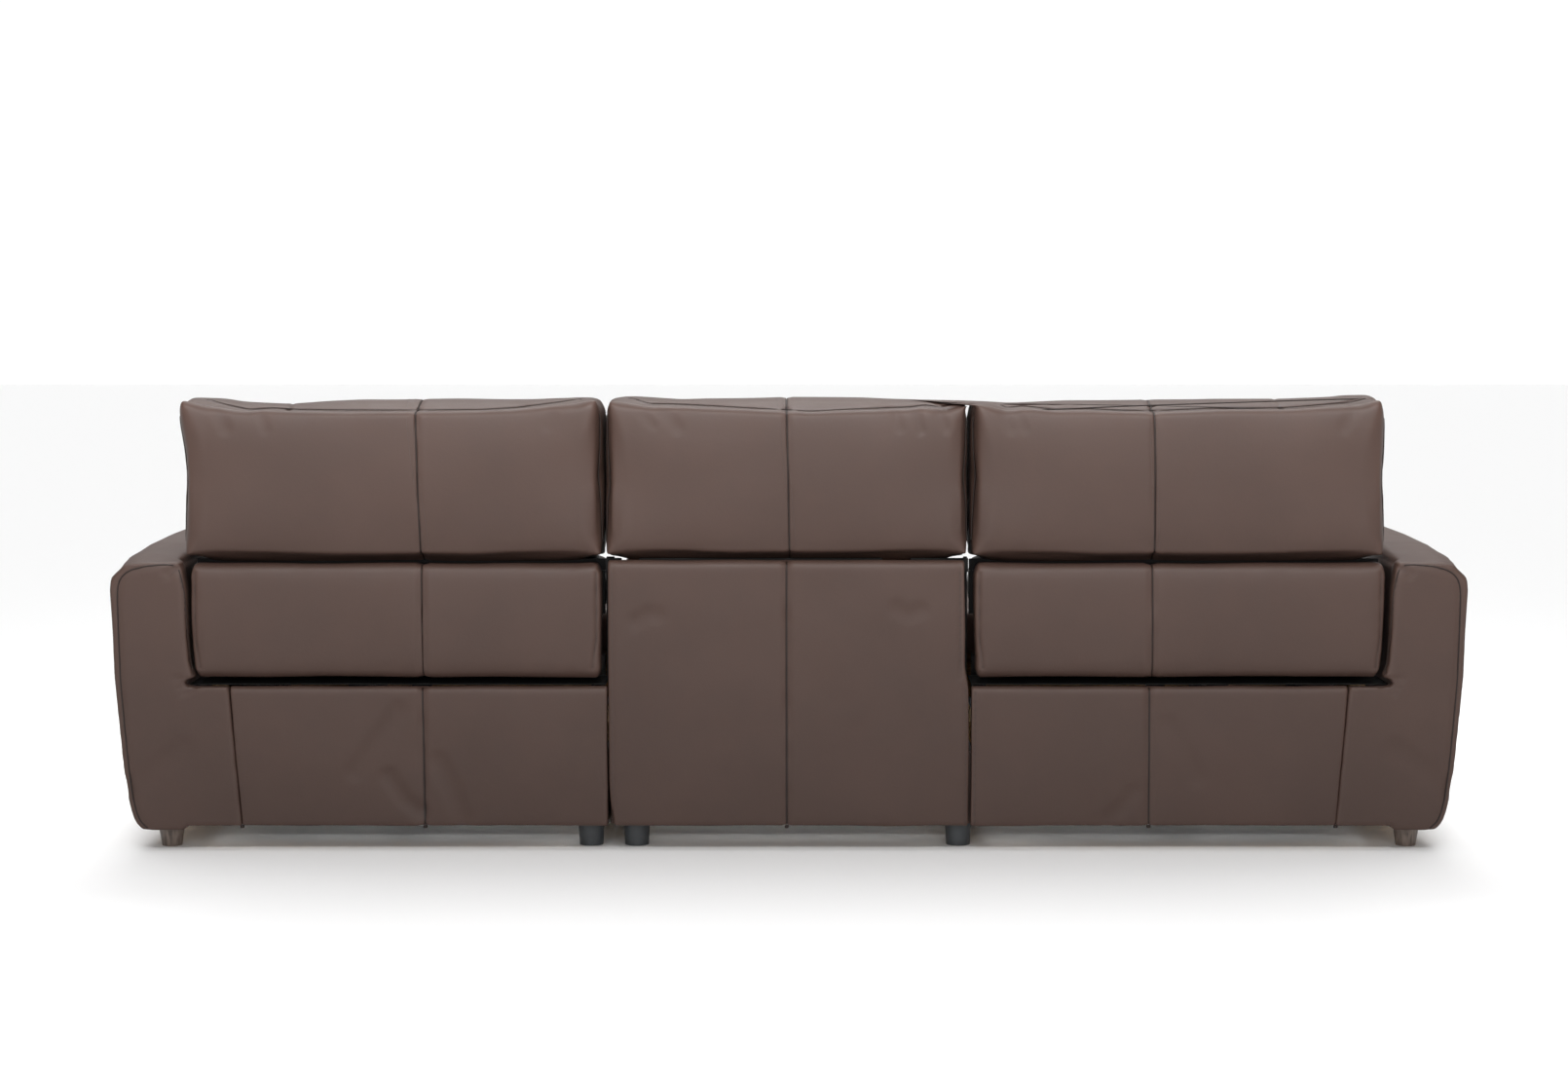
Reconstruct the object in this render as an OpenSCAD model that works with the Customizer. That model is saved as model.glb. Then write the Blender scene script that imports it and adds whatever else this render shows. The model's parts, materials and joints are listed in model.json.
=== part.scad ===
/* [Overall] */
// Depth from the fronts of the arms to the rear faces
body_d = 1020; // [980:5:1060]
// Width of the middle section
middle_w = 716; // [660:2:760]
// Width of an outer seat, from the side of its section to the arm
bay_w = 845; // [800:5:880]
// Gap between the separate single unit and the twin unit
unit_gap = 5; // [4:1:10]
// Underside of the panels above the floor
panel_z = 50; // [45:1:60]
// Top of the lower back panels
lower_top = 330; // [320:1:332]
// Top of the middle back panel and of the outer back panels
back_top = 583; // [576:1:584]
// Top of the headrests, without their crown
headrest_top = 906; // [840:2:930]
// Shift of the outer backs' rear panels towards the single unit
back_shift = 4; // [0:1:4]

/* [Arms] */
// Width of an arm at its widest
arm_w = 151; // [130:1:170]
// Height of the arm top
arm_h = 600; // [580:1:610]
// Underside of the arms, on the wooden feet
arm_z = 41; // [36:1:45]
// How far the outer side of an arm draws in at the floor
arm_toe = 58; // [40:1:62]
// Crown of the outer side of an arm
arm_crown = 20; // [8:1:24]
// Width of the arm's low rear wing at its top
wing_w = 91; // [70:1:110]
// Extra width of that wing at its foot
wing_flare = 21; // [0:1:30]

/* [Seat] */
// Height of the seat cushion's top, without its crown
seat_h = 450; // [440:1:470]
// Underside of the seat cushion
seat_z = 334; // [334:1:350]
// Set-back of the seat front from the arm fronts
seat_inset = 10; // [4:1:30]
// Distance from the recline axis forward to the rear end of the seat cushion
seat_back_gap = 90; // [89:1:130]
// Clearance of a cushion from its neighbours at each side
side_gap = 7.5; // [7:0.5:12]
// Crown of the seat top
seat_crown = 12; // [4:1:16]

/* [Back] */
// Recline axis ahead of the rear faces
recline_in = 360; // [354:1:362]
// Recline axis above the floor
recline_z = 400; // [396:1:406]
// Radius of the back cushion's lower front edge, round the recline axis
heel_r = 75; // [60:1:77]
// Front face of the back cushion at its top, ahead of the rear faces
back_front_in = 382; // [370:1:388]
// Top of the back cushion at its front
back_cushion_top = 556; // [550:1:557]
// Rear side of the back cushion, where the back frame starts, ahead of the rear faces
frame_in = 140; // [130:1:144]
// Depth of the back frame
frame_d = 70; // [60:1:71]
// Thickness of the padded rear panels, without their crown
rear_panel_t = 64; // [50:1:66]
// Lower edge of the rear panels of the outer backs
rear_panel_z = 342; // [341:1:350]
// Distance of the sewn centre seams from the bay centre, towards the middle
seam_offset = 47; // [20:1:80]
// Depth of a sewn channel
seam_depth = 3; // [1:0.5:5]

/* [Headrest] */
// Headrest axis ahead of the rear faces
tilt_in = 360; // [354:1:362]
// Headrest axis above the floor
tilt_z = 600; // [598:1:604]
// Radius of the headrest's lower front edge
headrest_heel_r = 30; // [24:1:31]
// Front face of the headrest at its top, ahead of the rear faces
headrest_front_in = 248; // [210:2:290]
// Rise of the headrest's underside to the rear
headrest_rise = 21; // [16:1:26]
// Distance of the headrest brackets from the seat's centre
bracket_x = 240; // [200:1:260]
// Crown of the headrest's rear face
headrest_crown = 8; // [3:1:10]
// Crown of the face that the head rests on
headrest_face_crown = 38; // [16:2:42]
// Radius of the headrest's upper rear edge
headrest_brow_r = 30; // [16:1:36]

/* [Legrest] */
// Length of a scissor link between its end pivots
link_l = 215; // [200:1:216]
// Angle of the links from level, legrest closed
link_closed = 75; // [74:1:77]
// Angle of the links from level, legrest out
link_open = 15; // [15:1:25]
// Width of a link
link_w = 28; // [24:1:30]
// Thickness of a link
link_t = 5; // [4:0.5:5]
// Radius of the link pivots
pivot_r = 5; // [4:0.5:6]
// Running clearance round a pivot
pivot_gap = 0.08; // [0.05:0.01:0.1]
// Height of the scissor axis and of the legrest's pivot
scissor_z = 285; // [283:1:286]
// Distance of the legrest's pivot behind its board
board_back = 22; // [20:1:26]
// Thickness of the legrest board
board_t = 16; // [12:1:18]
// Thickness of the legrest pad
pad_t = 75; // [60:1:78]
// Lower edge of the legrest pad
pad_z = 75; // [70:1:95]
// Top edge of the legrest pad
pad_top = 322; // [310:1:323]

/* [Mechanism] */
// Travel of the seat, front to back
seat_travel = 182; // [150:1:182]
// Thickness of the steel side plates
plate_t = 5; // [4:0.5:5]
// Width of a wooden rail
rail_t = 25; // [20:1:26]
// Height of the tall part of a wooden side rail
rail_top = 210; // [208:1:214]
// Side of the square seat tubes
tube_s = 25; // [20:1:25]
// Radius of the torque tube on the scissor axis
torque_r = 11; // [9:1:12]
// Radius of the recline pins
recline_pin_r = 8; // [6:1:9]
// Clearance of the sliding bars in their tracks
slide_gap = 0.5; // [0.3:0.1:0.6]

/* [Controls] */
// Length of the control panel
panel_l = 122; // [116:1:130]
// Height of the control panel
panel_h = 60; // [54:1:64]
// Centre of the control panel above the floor
panel_mid_z = 512; // [505:1:520]
// Centre of the control panel behind the arm's front
panel_back = 240; // [200:5:300]
// Pitch of the three rockers
rocker_pitch = 35; // [33:1:37]
// Width of a rocker
rocker_w = 22; // [18:1:23]
// Height of a rocker
rocker_h = 35; // [28:1:36]

/* [Feet] */
// Radius of a wooden foot at its top
wood_foot_r = 26.5; // [22:0.5:30]
// Radius of a wooden foot at the floor
wood_foot_tip = 20; // [16:0.5:22]
// Radius of a plastic foot at its top
plastic_foot_r = 27; // [22:0.5:27]
// Radius of a plastic foot at the floor
plastic_foot_tip = 24; // [18:0.5:25]

/* [Hidden] */
$fn = 48;

// Places across the width, from the middle outwards
x_mid = middle_w / 2;
x_unit = x_mid + unit_gap;
x_arm = x_unit + bay_w;
x_out = x_arm + arm_w;
bay_c = x_unit + bay_w / 2;
bay_half = bay_w / 2;
front_y = -body_d / 2;
rear_y = body_d / 2;
touch = 0.3;

// Axes and faces of the seats and backs, from the middle of the depth
recline_y = rear_y - recline_in;
seat_rear = recline_y - seat_back_gap;
back_front = rear_y - back_front_in;
frame_y = rear_y - frame_in;
tilt_y = rear_y - tilt_in;
headrest_front = rear_y - headrest_front_in;

// Leather panels at the back
skin_t = 28;
skin_y = rear_y - skin_t;
edge_round = 10;
back_bow = 3;
rear_face = rear_y - back_bow;
middle_y = rear_y - 32;

// Side boards and rails of a bay, counted from the bay centre
board_w = 10;
rail_out = bay_half - board_w;
rail_in = rail_out - rail_t;
rail_front = front_y + 120;
rail_rear = rear_y - 50;
rail_low = 165;
rail_step = recline_y;
cross_h = 40;
cross_front = front_y + 260;
cross_t = 25;
rear_rail_t = 20;
rear_rail_h = 100;

// Sliding tracks and the seat carriage
track_wall = 3;
track_depth = 13.5;
bar_h = 27;
bar_z = 190;
bar_y = [recline_y - 240, recline_y - 20];
track_y = [bar_y[0] - seat_travel - 8, bar_y[1] + 15];
plate_out = rail_in - track_depth - 1;
plate_in = plate_out - plate_t;
web_t = 3;
deck_z = seat_z - 1 - web_t;
tube_z = deck_z - tube_s;
tube_front = front_y + 110;
cross_tube_front = front_y + 210;
cross_tube_rear = recline_y - 110;
lug_r = 22;

deck_front = front_y + 60;

// Scissor linkage, two layers of links beside each plate
link_c = link_l * cos(link_closed);
link_s = link_l * sin(link_closed);
leg_y = front_y + seat_inset - 5 + pad_t + board_t + board_back;
scissor_y = leg_y + 2 * link_c;
layer_gap = 1.5;
layer_a = plate_in - 3 - link_t;
layer_b = layer_a - layer_gap - link_t;
slot_low = scissor_z - link_s;
slot_high = scissor_z - link_l * sin(link_open);
slot_gap = 0.5;

// Back frame
hinge_out = plate_in - 1.5;
hinge_in = hinge_out - plate_t;
post_w = 25;
post_in = hinge_in - post_w;
frame_front = frame_y + 2;
frame_rear = frame_y + frame_d - 2;
frame_low = 345;
frame_rail = 30;
frame_top = back_top - 13;
cut_z = seat_h + 8;

// Headrest brackets
arm_plate_t = 6;
bracket_t = 5;
lug = 12;
tilt_pin_r = 5;
bracket_l = 180;
slot_t = 0.4;
headrest_low = tilt_z - headrest_heel_r - 2;

// Cushion meshes
arc_steps = 2;
edge_steps = 2;
seam_half = 9;

leather = [0.33, 0.26, 0.235];
leather_dark = [0.29, 0.225, 0.205];
timber = [0.74, 0.6, 0.42];
steel = [0.32, 0.33, 0.35];
bright_steel = [0.62, 0.63, 0.65];
black = [0.12, 0.12, 0.13];
webbing_brown = [0.45, 0.38, 0.3];
wood_grey = [0.42, 0.36, 0.32];

function unit(v) = v / norm(v);

// Points of the rounded corner at q, between its neighbours p and r
function corner_arc(p, q, r, radius, steps) =
    let (
        u = unit(p - q),
        v = unit(r - q),
        half = acos(u * v) / 2,
        reach = radius / tan(half),
        centre = q + unit(u + v) * radius / sin(half),
        a = q + u * reach - centre,
        b = q + v * reach - centre
    )
    [for (i = [0 : steps]) centre + radius * unit(a * (1 - i / steps) + b * i / steps)];

// Points between two corners, pushed outwards by the crown
function crowned_edge(a, b, crown, steps) =
    let (d = b - a, n = unit([d[1], -d[0]]))
    [for (i = [1 : steps]) let (s = i / (steps + 1)) a + d * s + n * crown * 4 * s * (1 - s)];

// Closed outline through corners, anticlockwise, with a radius at each and a crown after each
function outline(corners, radii, crowns, gain = 1, arcs = arc_steps, edges = edge_steps) =
    let (
        n = len(corners),
        bends = [for (i = [0 : n - 1])
            corner_arc(corners[(i + n - 1) % n], corners[i], corners[(i + 1) % n], radii[i], arcs)]
    )
    [for (i = [0 : n - 1])
        each concat(bends[i],
            crowned_edge(bends[i][arcs], bends[(i + 1) % n][0], crowns[i] * gain, edges))];

function lowest(points, k) = min([for (p = points) p[k]]);
function highest(points, k) = max([for (p = points) p[k]]);

// The outline drawn in by d on every side
function drawn_in(points, d) =
    let (
        low = [lowest(points, 0), lowest(points, 1)],
        high = [highest(points, 0), highest(points, 1)],
        mid = (low + high) / 2,
        half = (high - low) / 2
    )
    [for (p = points) [mid[0] + (p[0] - mid[0]) * (1 - d / half[0]),
        mid[1] + (p[1] - mid[1]) * (1 - d / half[1])]];

// Stations from end to end: place, draw-in, and pull of the sides between their corners
function cushion_stations(x0, x1, r, seam) = [
    [x0, r, 1], [x0 + 0.3 * r, 0.286 * r, 0.7], [x0 + r, 0, 0],
    [(x0 + r + seam - seam_half) / 2, 0, 0],
    [seam - seam_half, 0, 0], [seam, seam_depth, 0], [seam + seam_half, 0, 0],
    [(x1 - r + seam + seam_half) / 2, 0, 0],
    [x1 - r, 0, 0], [x1 - 0.3 * r, 0.286 * r, -0.7], [x1, r, -1]
];

function crown_gain(x, x0, x1) = 1 - pow(abs(2 * (x - x0) / (x1 - x0) - 1), 2.5);

// Rings of a cushion whose profile lies in Y and Z
function cushion_rings(corners, radii, crowns, x0, x1, r, seam, pull) =
    [for (s = cushion_stations(x0, x1, r, seam))
        let (
            ring = drawn_in(outline(corners, radii, crowns, crown_gain(s[0], x0, x1)), s[1]),
            z0 = lowest(ring, 1),
            z1 = highest(ring, 1)
        )
        [for (p = ring)
            let (u = 2 * (p[1] - z0) / (z1 - z0) - 1)
            [s[0] + s[2] * pull * (1 - u * u), p[0], p[1]]]];

function middle_point(ring) = [for (k = [0 : 2]) (lowest(ring, k) + highest(ring, k)) / 2];

// Closed skin over rings that are anticlockwise seen from +X and follow each other along +X
module loft(rings) {
    n = len(rings[0]);
    m = len(rings);
    sides = [for (i = [0 : m - 2], j = [0 : n - 1])
        let (a = i * n + j, b = i * n + (j + 1) % n)
        each [[a, a + n, b + n], [a, b + n, b]]];
    last = (m - 1) * n;
    start = [for (j = [0 : n - 1]) [n * m, j, (j + 1) % n]];
    end = [for (j = [0 : n - 1]) [n * m + 1, last + (j + 1) % n, last + j]];
    ends = [middle_point(rings[0]), middle_point(rings[m - 1])];
    polyhedron(
        points = concat([for (ring = rings) each ring], ends),
        faces = concat(sides, start, end));
}

module cushion(corners, radii, crowns, x0, x1, r, seam, pull = 0) {
    loft(cushion_rings(corners, radii, crowns, x0, x1, r, seam, pull));
}

// A box given by its lowest and highest corners
module block(low, high) {
    translate(low) cube(high - low);
}

// A plate standing in the Y and Z plane, from x0 to x1
module plate(points, x0, x1) {
    translate([x0, 0, 0])
        rotate([90, 0, 90])
            linear_extrude(height = x1 - x0) polygon(points);
}

// A round bar along X, from x0 to x1
module bar_x(x0, x1, y, z, r) {
    translate([x0, y, z])
        rotate([0, 90, 0])
            cylinder(h = x1 - x0, r = r);
}

// Both sides of a bay
module both_sides() {
    children();
    mirror([1, 0, 0]) children();
}

// Draws bay pieces in place, +X towards the arm
module left_bay(shift = 0) {
    translate([bay_c + shift, 0, 0]) children();
}

module right_bay(shift = 0) {
    translate([-bay_c + shift, 0, 0]) mirror([1, 0, 0]) children();
}

// Outer profile of an arm, in minus X and Z, drawn in at its ends
function arm_outline(top, inset) =
    outline(
        [[-x_out + arm_toe + inset, arm_z], [-x_arm - inset / 2, arm_z],
            [-x_arm - inset / 2, top], [-x_out + inset, top]],
        [12, 3, 22, 52], [0, 0, 0, arm_crown], 1, 3, 3);

// Arm sections from front to rear: place, drop of the top, draw-in
arm_stations = [
    [front_y, 26, 16], [front_y + 7, 9, 5], [front_y + 26, 2, 0],
    [0, 0, 0], [rear_y - 260, 3, 0], [rear_y - 82, 14, 0],
    [rear_y - 26, 19, 0], [rear_y - 7, 21, 2], [rear_y, 23, 5]
];

module arm_shape() {
    rotate([0, 0, 90])
        loft([for (s = arm_stations)
            [for (p = arm_outline(arm_h - s[1], s[2])) [s[0], p[0], p[1]]]]);
}

// The low wing that turns the corner of the arm at the rear
module arm_wing() {
    wing_x = x_arm - wing_w;
    foot_x = wing_x - wing_flare;
    translate([0, rear_y, 0])
        rotate([90, 0, 0])
            linear_extrude(height = skin_t)
                polygon([[foot_x, panel_z], [x_arm + 5, panel_z], [x_arm + 5, lower_top + 16],
                    [x_arm - 4, lower_top + 5], [x_arm - 16, lower_top], [wing_x + 2, lower_top]]);
}

cavity_in = x_arm + 24;
cavity_out = x_out - arm_toe - 14;
cavity_y = rear_y - 45;
cavity_top = arm_h - 42;
panel_y = front_y + panel_back;
pocket_depth = 12;

module arm_cover() {
    difference() {
        union() {
            arm_shape();
            arm_wing();
        }
        block([cavity_in, -cavity_y, arm_z - 1], [cavity_out, cavity_y, cavity_top]);
        block([x_arm - 1, panel_y - panel_l / 2 - touch, panel_mid_z - panel_h / 2 - touch],
            [x_arm + pocket_depth + 1 + touch, panel_y + panel_l / 2 + touch,
                panel_mid_z + panel_h / 2 + touch]);
    }
}

module left_arm_cover() {
    color(leather) arm_cover();
}

module right_arm_cover() {
    color(leather) mirror([1, 0, 0]) arm_cover();
}

// Board frame of an arm, with three windows between its posts
module arm_frame() {
    windows = 3;
    post = 70;
    y0 = -cavity_y + touch;
    pitch = (2 * cavity_y - post) / windows;
    difference() {
        block([cavity_in + touch, y0, arm_z], [cavity_out - touch, -y0, cavity_top - touch]);
        for (i = [0 : windows - 1])
            block([cavity_in - 1, y0 + post + i * pitch, arm_z + 60],
                [cavity_out + 1, y0 + pitch + i * pitch, cavity_top - 60]);
    }
}

module arm_frames() {
    color(timber) both_sides() arm_frame();
}

// Upholstered lower back panel, from its section's side to the arm's wing
module lower_back_panel() {
    wing_x = x_arm - wing_w - touch;
    foot_x = wing_x - wing_flare;
    difference() {
        cushion([[skin_y, panel_z], [rear_face, panel_z], [rear_face, lower_top], [skin_y, lower_top]],
            [3, 4, edge_round, 3], [0, back_bow, 0, 0],
            x_unit, wing_x + 10, 3, bay_c - seam_offset);
        translate([0, rear_y + 20, 0])
            rotate([90, 0, 0])
                linear_extrude(height = skin_t + 40)
                    polygon([[foot_x, panel_z], [wing_x, lower_top], [wing_x, lower_top + 20],
                        [x_arm, lower_top + 20], [x_arm, 0], [foot_x, 0]]);
    }
}

module left_lower_back_panel() {
    color(leather_dark) lower_back_panel();
}

module right_lower_back_panel() {
    color(leather_dark) mirror([1, 0, 0]) lower_back_panel();
}

// One side rail with its foot pads, for a bay side
module side_rail() {
    plate([[rail_front, panel_z], [rail_rear, panel_z], [rail_rear, rail_low],
        [rail_step + 15, rail_low], [rail_step, rail_top], [rail_front, rail_top]],
        rail_in, rail_out);
}

// Cross rails of a bay: front, rear, and the upper rear rail behind the lower back panel
module cross_rails() {
    block([-rail_in + touch, cross_front, panel_z],
        [rail_in - touch, cross_front + cross_t, panel_z + cross_h]);
    block([-rail_in + touch, rail_rear - rear_rail_t, panel_z],
        [rail_in - touch, rail_rear, panel_z + rear_rail_h]);
    block([-rail_out, rail_rear + touch, panel_z + 10],
        [rail_out, skin_y - touch, lower_top - 14]);
}

// A side board of a seat, cut low at the rear where the back swings down
module side_board(x0, x1, front, rear) {
    plate([[front, panel_z], [rear, panel_z], [rear, rail_top - 14], [rail_step + 55, rail_top - 14],
        [rail_step + 55, seat_z - 4], [front, seat_z - 4]], x0, x1);
}

// Plywood lining between a bay and its arm, which carries the rail
module arm_side_board() {
    side_board(rail_out + touch, bay_half, rail_front, skin_y - touch);
}

module bay_frame() {
    both_sides() side_rail();
    cross_rails();
    arm_side_board();
}

// Rear foot places, counted from the middle
foot_unit_x = 400;
foot_twin_x = 308;
foot_shared_x = -343;
foot_y = rear_y - 70;
foot_front_y = front_y + 190;
pad_h = 10;

// Blocks that carry the plastic feet, from x0 to x1
module foot_pads(x0, x1) {
    for (y = [foot_front_y, foot_y - 10])
        block([x0, y - 30, panel_z], [x1, y + 30, panel_z + pad_h]);
}

module left_base_frame() {
    color(timber) {
        left_bay() bay_frame();
        foot_pads(x_unit + board_w, foot_unit_x + 30);
    }
}

// The middle section's own rails, and the bay frame of the right seat
module twin_base_frame() {
    x_in = x_mid - board_w;
    color(timber) {
        right_bay() bay_frame();
        block([x_in - rail_t, rail_front, panel_z], [x_in, rail_rear, rail_top]);
        block([-x_mid, rail_front, panel_z], [-x_mid + rail_t, rail_rear, rail_top]);
        for (y = [rail_front, rail_rear - rail_t])
            block([-x_mid + rail_t + touch, y, panel_z],
                [x_in - rail_t - touch, y + rail_t, panel_z + rear_rail_h]);
        foot_pads(foot_twin_x - 30, x_mid - board_w);
        foot_pads(-x_mid, foot_shared_x + 30);
    }
}

connector_y = [front_y + 260, rear_y - 180];
connector_z = 200;
connector_w = 50;
connector_h = 70;
connector_t = 2;

// Leather-covered side boards where the two units meet
module unit_side_panels() {
    low = deck_front + touch;
    color(leather_dark) {
        side_board(x_unit, x_unit + board_w - touch, low, skin_y - touch);
        side_board(x_mid - board_w + touch, x_mid, low, middle_y - touch);
        side_board(-x_unit - board_w + touch, -x_mid - touch, low, middle_y - touch);
    }
}

// Full-height outside back of the middle section
module middle_back_panel() {
    color(leather)
        cushion([[middle_y, panel_z], [rear_face, panel_z], [rear_face - 5, back_top],
            [middle_y, back_top]],
            [3, 4, 14, 4], [0, back_bow, 0, 0], -x_mid, x_mid, 5, 0);
}

// Uprights and rails of a back, with the two arms that carry the headrest hinge
module back_posts(half, low, rear) {
    both_sides() block([half - post_w, frame_front, low], [half, rear, frame_top]);
    for (z = [low, frame_top - frame_rail])
        block([-half + post_w - 0.01, frame_front, z],
            [half - post_w + 0.01, rear, z + frame_rail]);
}

module headrest_arms(x) {
    z0 = frame_top - frame_rail;
    both_sides() {
        block([x, tilt_y - lug + 1, z0], [x + arm_plate_t, frame_front + 0.01, z0 + 18]);
        block([x, tilt_y - lug + 1, z0], [x + arm_plate_t, tilt_y + lug - 1, tilt_z]);
        bar_x(x, x + arm_plate_t, tilt_y, tilt_z, lug);
        bar_x(x + 0.5, x + arm_plate_t + bracket_t + 1, tilt_y, tilt_z, tilt_pin_r);
    }
}

arm_plate_x = bracket_x - arm_plate_t / 2;

module middle_back_frame() {
    color(timber) {
        back_posts(x_mid - 28, rail_top + touch, middle_y - touch);
        headrest_arms(arm_plate_x);
    }
}

// Profile of a back cushion, from its lower front edge round
back_profile = [[recline_y - heel_r - 3, recline_z - heel_r - 7], [frame_y, frame_low],
    [frame_y, back_cushion_top + 16], [back_front, back_cushion_top]];
back_radii = [heel_r, 8, 14, 26];
back_crowns = [0, 0, 0, 10];

module back_cushion(half, seam) {
    difference() {
        cushion(back_profile, back_radii, back_crowns, -half, half, 20, seam, 3);
        both_sides()
            block([arm_plate_x - slot_t, tilt_y - 30, frame_top - frame_rail - 3],
                [arm_plate_x + arm_plate_t + slot_t, frame_y + 1, back_top + 20]);
    }
}

module middle_back_cushion() {
    color(leather) back_cushion(x_mid - 4, 0);
}

// Seat of the middle section: rails with webbing across
module middle_seat_deck() {
    half = x_mid - board_w - rail_t;
    deck_rear = seat_rear + 5;
    color(timber) {
        for (y = [deck_front, deck_rear - rail_t])
            block([-half + touch, y, deck_z - 40], [half - touch, y + rail_t, deck_z]);
        both_sides() {
            block([half - rail_t, deck_front + rail_t + touch, rail_top + touch],
                [half - touch, deck_rear - rail_t - touch, deck_z]);
            block([half + touch, deck_front, rail_top + touch],
                [half + rail_t - touch, deck_rear, deck_z]);
        }
    }
    color(webbing_brown) seat_webbing(half - touch, deck_front, deck_rear);
}

// Straps from front to rear, with even gaps
module seat_webbing(half, y0, y1) {
    straps = 6;
    strap_w = 62;
    pitch = (2 * half - strap_w) / (straps - 1);
    for (i = [0 : straps - 1])
        block([-half + i * pitch, y0, deck_z + 0.02],
            [-half + i * pitch + strap_w, y1, deck_z + 0.02 + web_t]);
}

seat_front = front_y + seat_inset;
seat_profile = [[seat_front, seat_z], [seat_rear, seat_z], [seat_rear, seat_h - 10],
    [seat_front, seat_h]];
seat_radii = [26, 8, 20, 42];
seat_crowns = [0, 0, seat_crown, 6];

module seat_cushion(half, seam) {
    cushion(seat_profile, seat_radii, seat_crowns, -half, half, 24, seam, 3);
}

module middle_seat_cushion() {
    color(leather) seat_cushion(x_mid - 4, 0);
}

legrest_front = front_y + seat_inset - 5;

module middle_front_panel() {
    color(leather)
        cushion([[legrest_front, panel_z], [deck_front - touch, panel_z],
            [deck_front - touch, pad_top], [legrest_front, pad_top]],
            [12, 4, 4, 18], [0, 0, 0, 4], -x_mid + touch, x_mid, 12, 0);
}

// Profile of a headrest, from its lower front edge round
headrest_profile = [[tilt_y - headrest_heel_r - 2, headrest_low],
    [rear_y - 8, headrest_low + headrest_rise], [rear_y - 10, headrest_top],
    [headrest_front, headrest_top - 8]];
headrest_radii = [headrest_heel_r, 16, headrest_brow_r, 60];
headrest_crowns = [0, headrest_crown, 6, headrest_face_crown];

module headrest_cushion(half, seam) {
    difference() {
        cushion(headrest_profile, headrest_radii, headrest_crowns, -half, half, 18, seam, 4);
        both_sides() {
            block([arm_plate_x - slot_t, tilt_y - 18, headrest_low - 10],
                [arm_plate_x + arm_plate_t + slot_t, tilt_y + 32, tilt_z + lug + 4]);
            block([arm_plate_x + arm_plate_t, tilt_y - lug - slot_t, headrest_low - 10],
                [arm_plate_x + arm_plate_t + bracket_t + 1 + slot_t,
                    tilt_y + bracket_l + slot_t, tilt_z + lug + slot_t]);
        }
    }
}

// Steel arm under a headrest, turning on the pin of the back frame
module headrest_bracket() {
    x0 = arm_plate_x + arm_plate_t + 0.6;
    both_sides()
        difference() {
            union() {
                bar_x(x0, x0 + bracket_t, tilt_y, tilt_z, lug);
                block([x0, tilt_y, tilt_z - lug + 4],
                    [x0 + bracket_t, tilt_y + bracket_l, tilt_z + lug]);
            }
            bar_x(x0 - 1, x0 + bracket_t + 1, tilt_y, tilt_z, tilt_pin_r + pivot_gap);
        }
}

headrest_x = middle_w / 2 + 1.5;

module middle_headrest_cushion() {
    color(leather) headrest_cushion(headrest_x, 0);
}

module middle_headrest_bracket() {
    color(bright_steel) headrest_bracket();
}

// Tapered feet
module wooden_feet() {
    foot_x = x_out - arm_toe - 52;
    color(wood_grey)
        for (x = [-foot_x, foot_x], y = [-foot_y, foot_y])
            translate([x, y, 0]) cylinder(h = arm_z - 0.02, r1 = wood_foot_tip, r2 = wood_foot_r);
}

module plastic_feet() {
    color(black)
        for (x = [foot_unit_x, foot_twin_x, foot_shared_x], y = [foot_front_y, foot_y - 10])
            translate([x, y, 0])
                cylinder(h = panel_z - 0.02, r1 = plastic_foot_tip, r2 = plastic_foot_r);
}

// Hooked plates that lock the two units together
module unit_connectors() {
    z1 = connector_z + connector_h;
    color(bright_steel)
        for (y = connector_y) {
            plate([[y - connector_w / 2, connector_z], [y + connector_w / 2, connector_z],
                [y + connector_w / 2 - 8, z1], [y - connector_w / 2 + 8, z1]],
                x_unit - connector_t - 0.05, x_unit - 0.05);
            plate([[y - connector_w / 2, connector_z - 20], [y + connector_w / 2, connector_z - 20],
                [y + connector_w / 2, z1 - 20], [y - connector_w / 2, z1 - 20]],
                x_mid + 0.05, x_mid + connector_t + 0.05);
        }
}

supply = [140, 62, 40];
supply_x = 220;

// Transformer housings on the rear rails, with an inlet opening in the underside
module power_supply() {
    y1 = rail_rear - rear_rail_t - touch;
    x0 = supply_x - supply[0] / 2;
    z0 = panel_z + 20;
    difference() {
        block([x0, y1 - supply[1], z0], [x0 + supply[0], y1, z0 + supply[2]]);
        block([supply_x - 12, y1 - supply[1] / 2 - 8, z0 - 1],
            [supply_x + 12, y1 - supply[1] / 2 + 8, z0 + 18]);
    }
}

module power_supplies() {
    color(black) {
        left_bay() power_supply();
        right_bay() power_supply();
    }
}

// Channel tracks on the tall part of the side rails
module track() {
    z0 = bar_z - bar_h / 2 - slide_gap - track_wall;
    z1 = bar_z + bar_h / 2 + slide_gap;
    x0 = rail_in - track_depth;
    block([rail_in - track_wall, track_y[0], z0], [rail_in, track_y[1], z1 + track_wall]);
    block([x0, track_y[0], z0], [rail_in, track_y[1], z0 + track_wall]);
    block([x0, track_y[0], z1], [rail_in, track_y[1], z1 + track_wall]);
}

module recline_tracks() {
    color(bright_steel) {
        left_bay() both_sides() track();
        right_bay() both_sides() track();
    }
}

tube_w = 30;
tube_h = 24;
drive_z = panel_z + cross_h + 12;
drive_y = [cross_front + 2, rear_y - 160];
gearbox = [90, 70];
motor_r = 28;
nut_y = [recline_y - 90, recline_y - 45];
nut_wall = 12;

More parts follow.
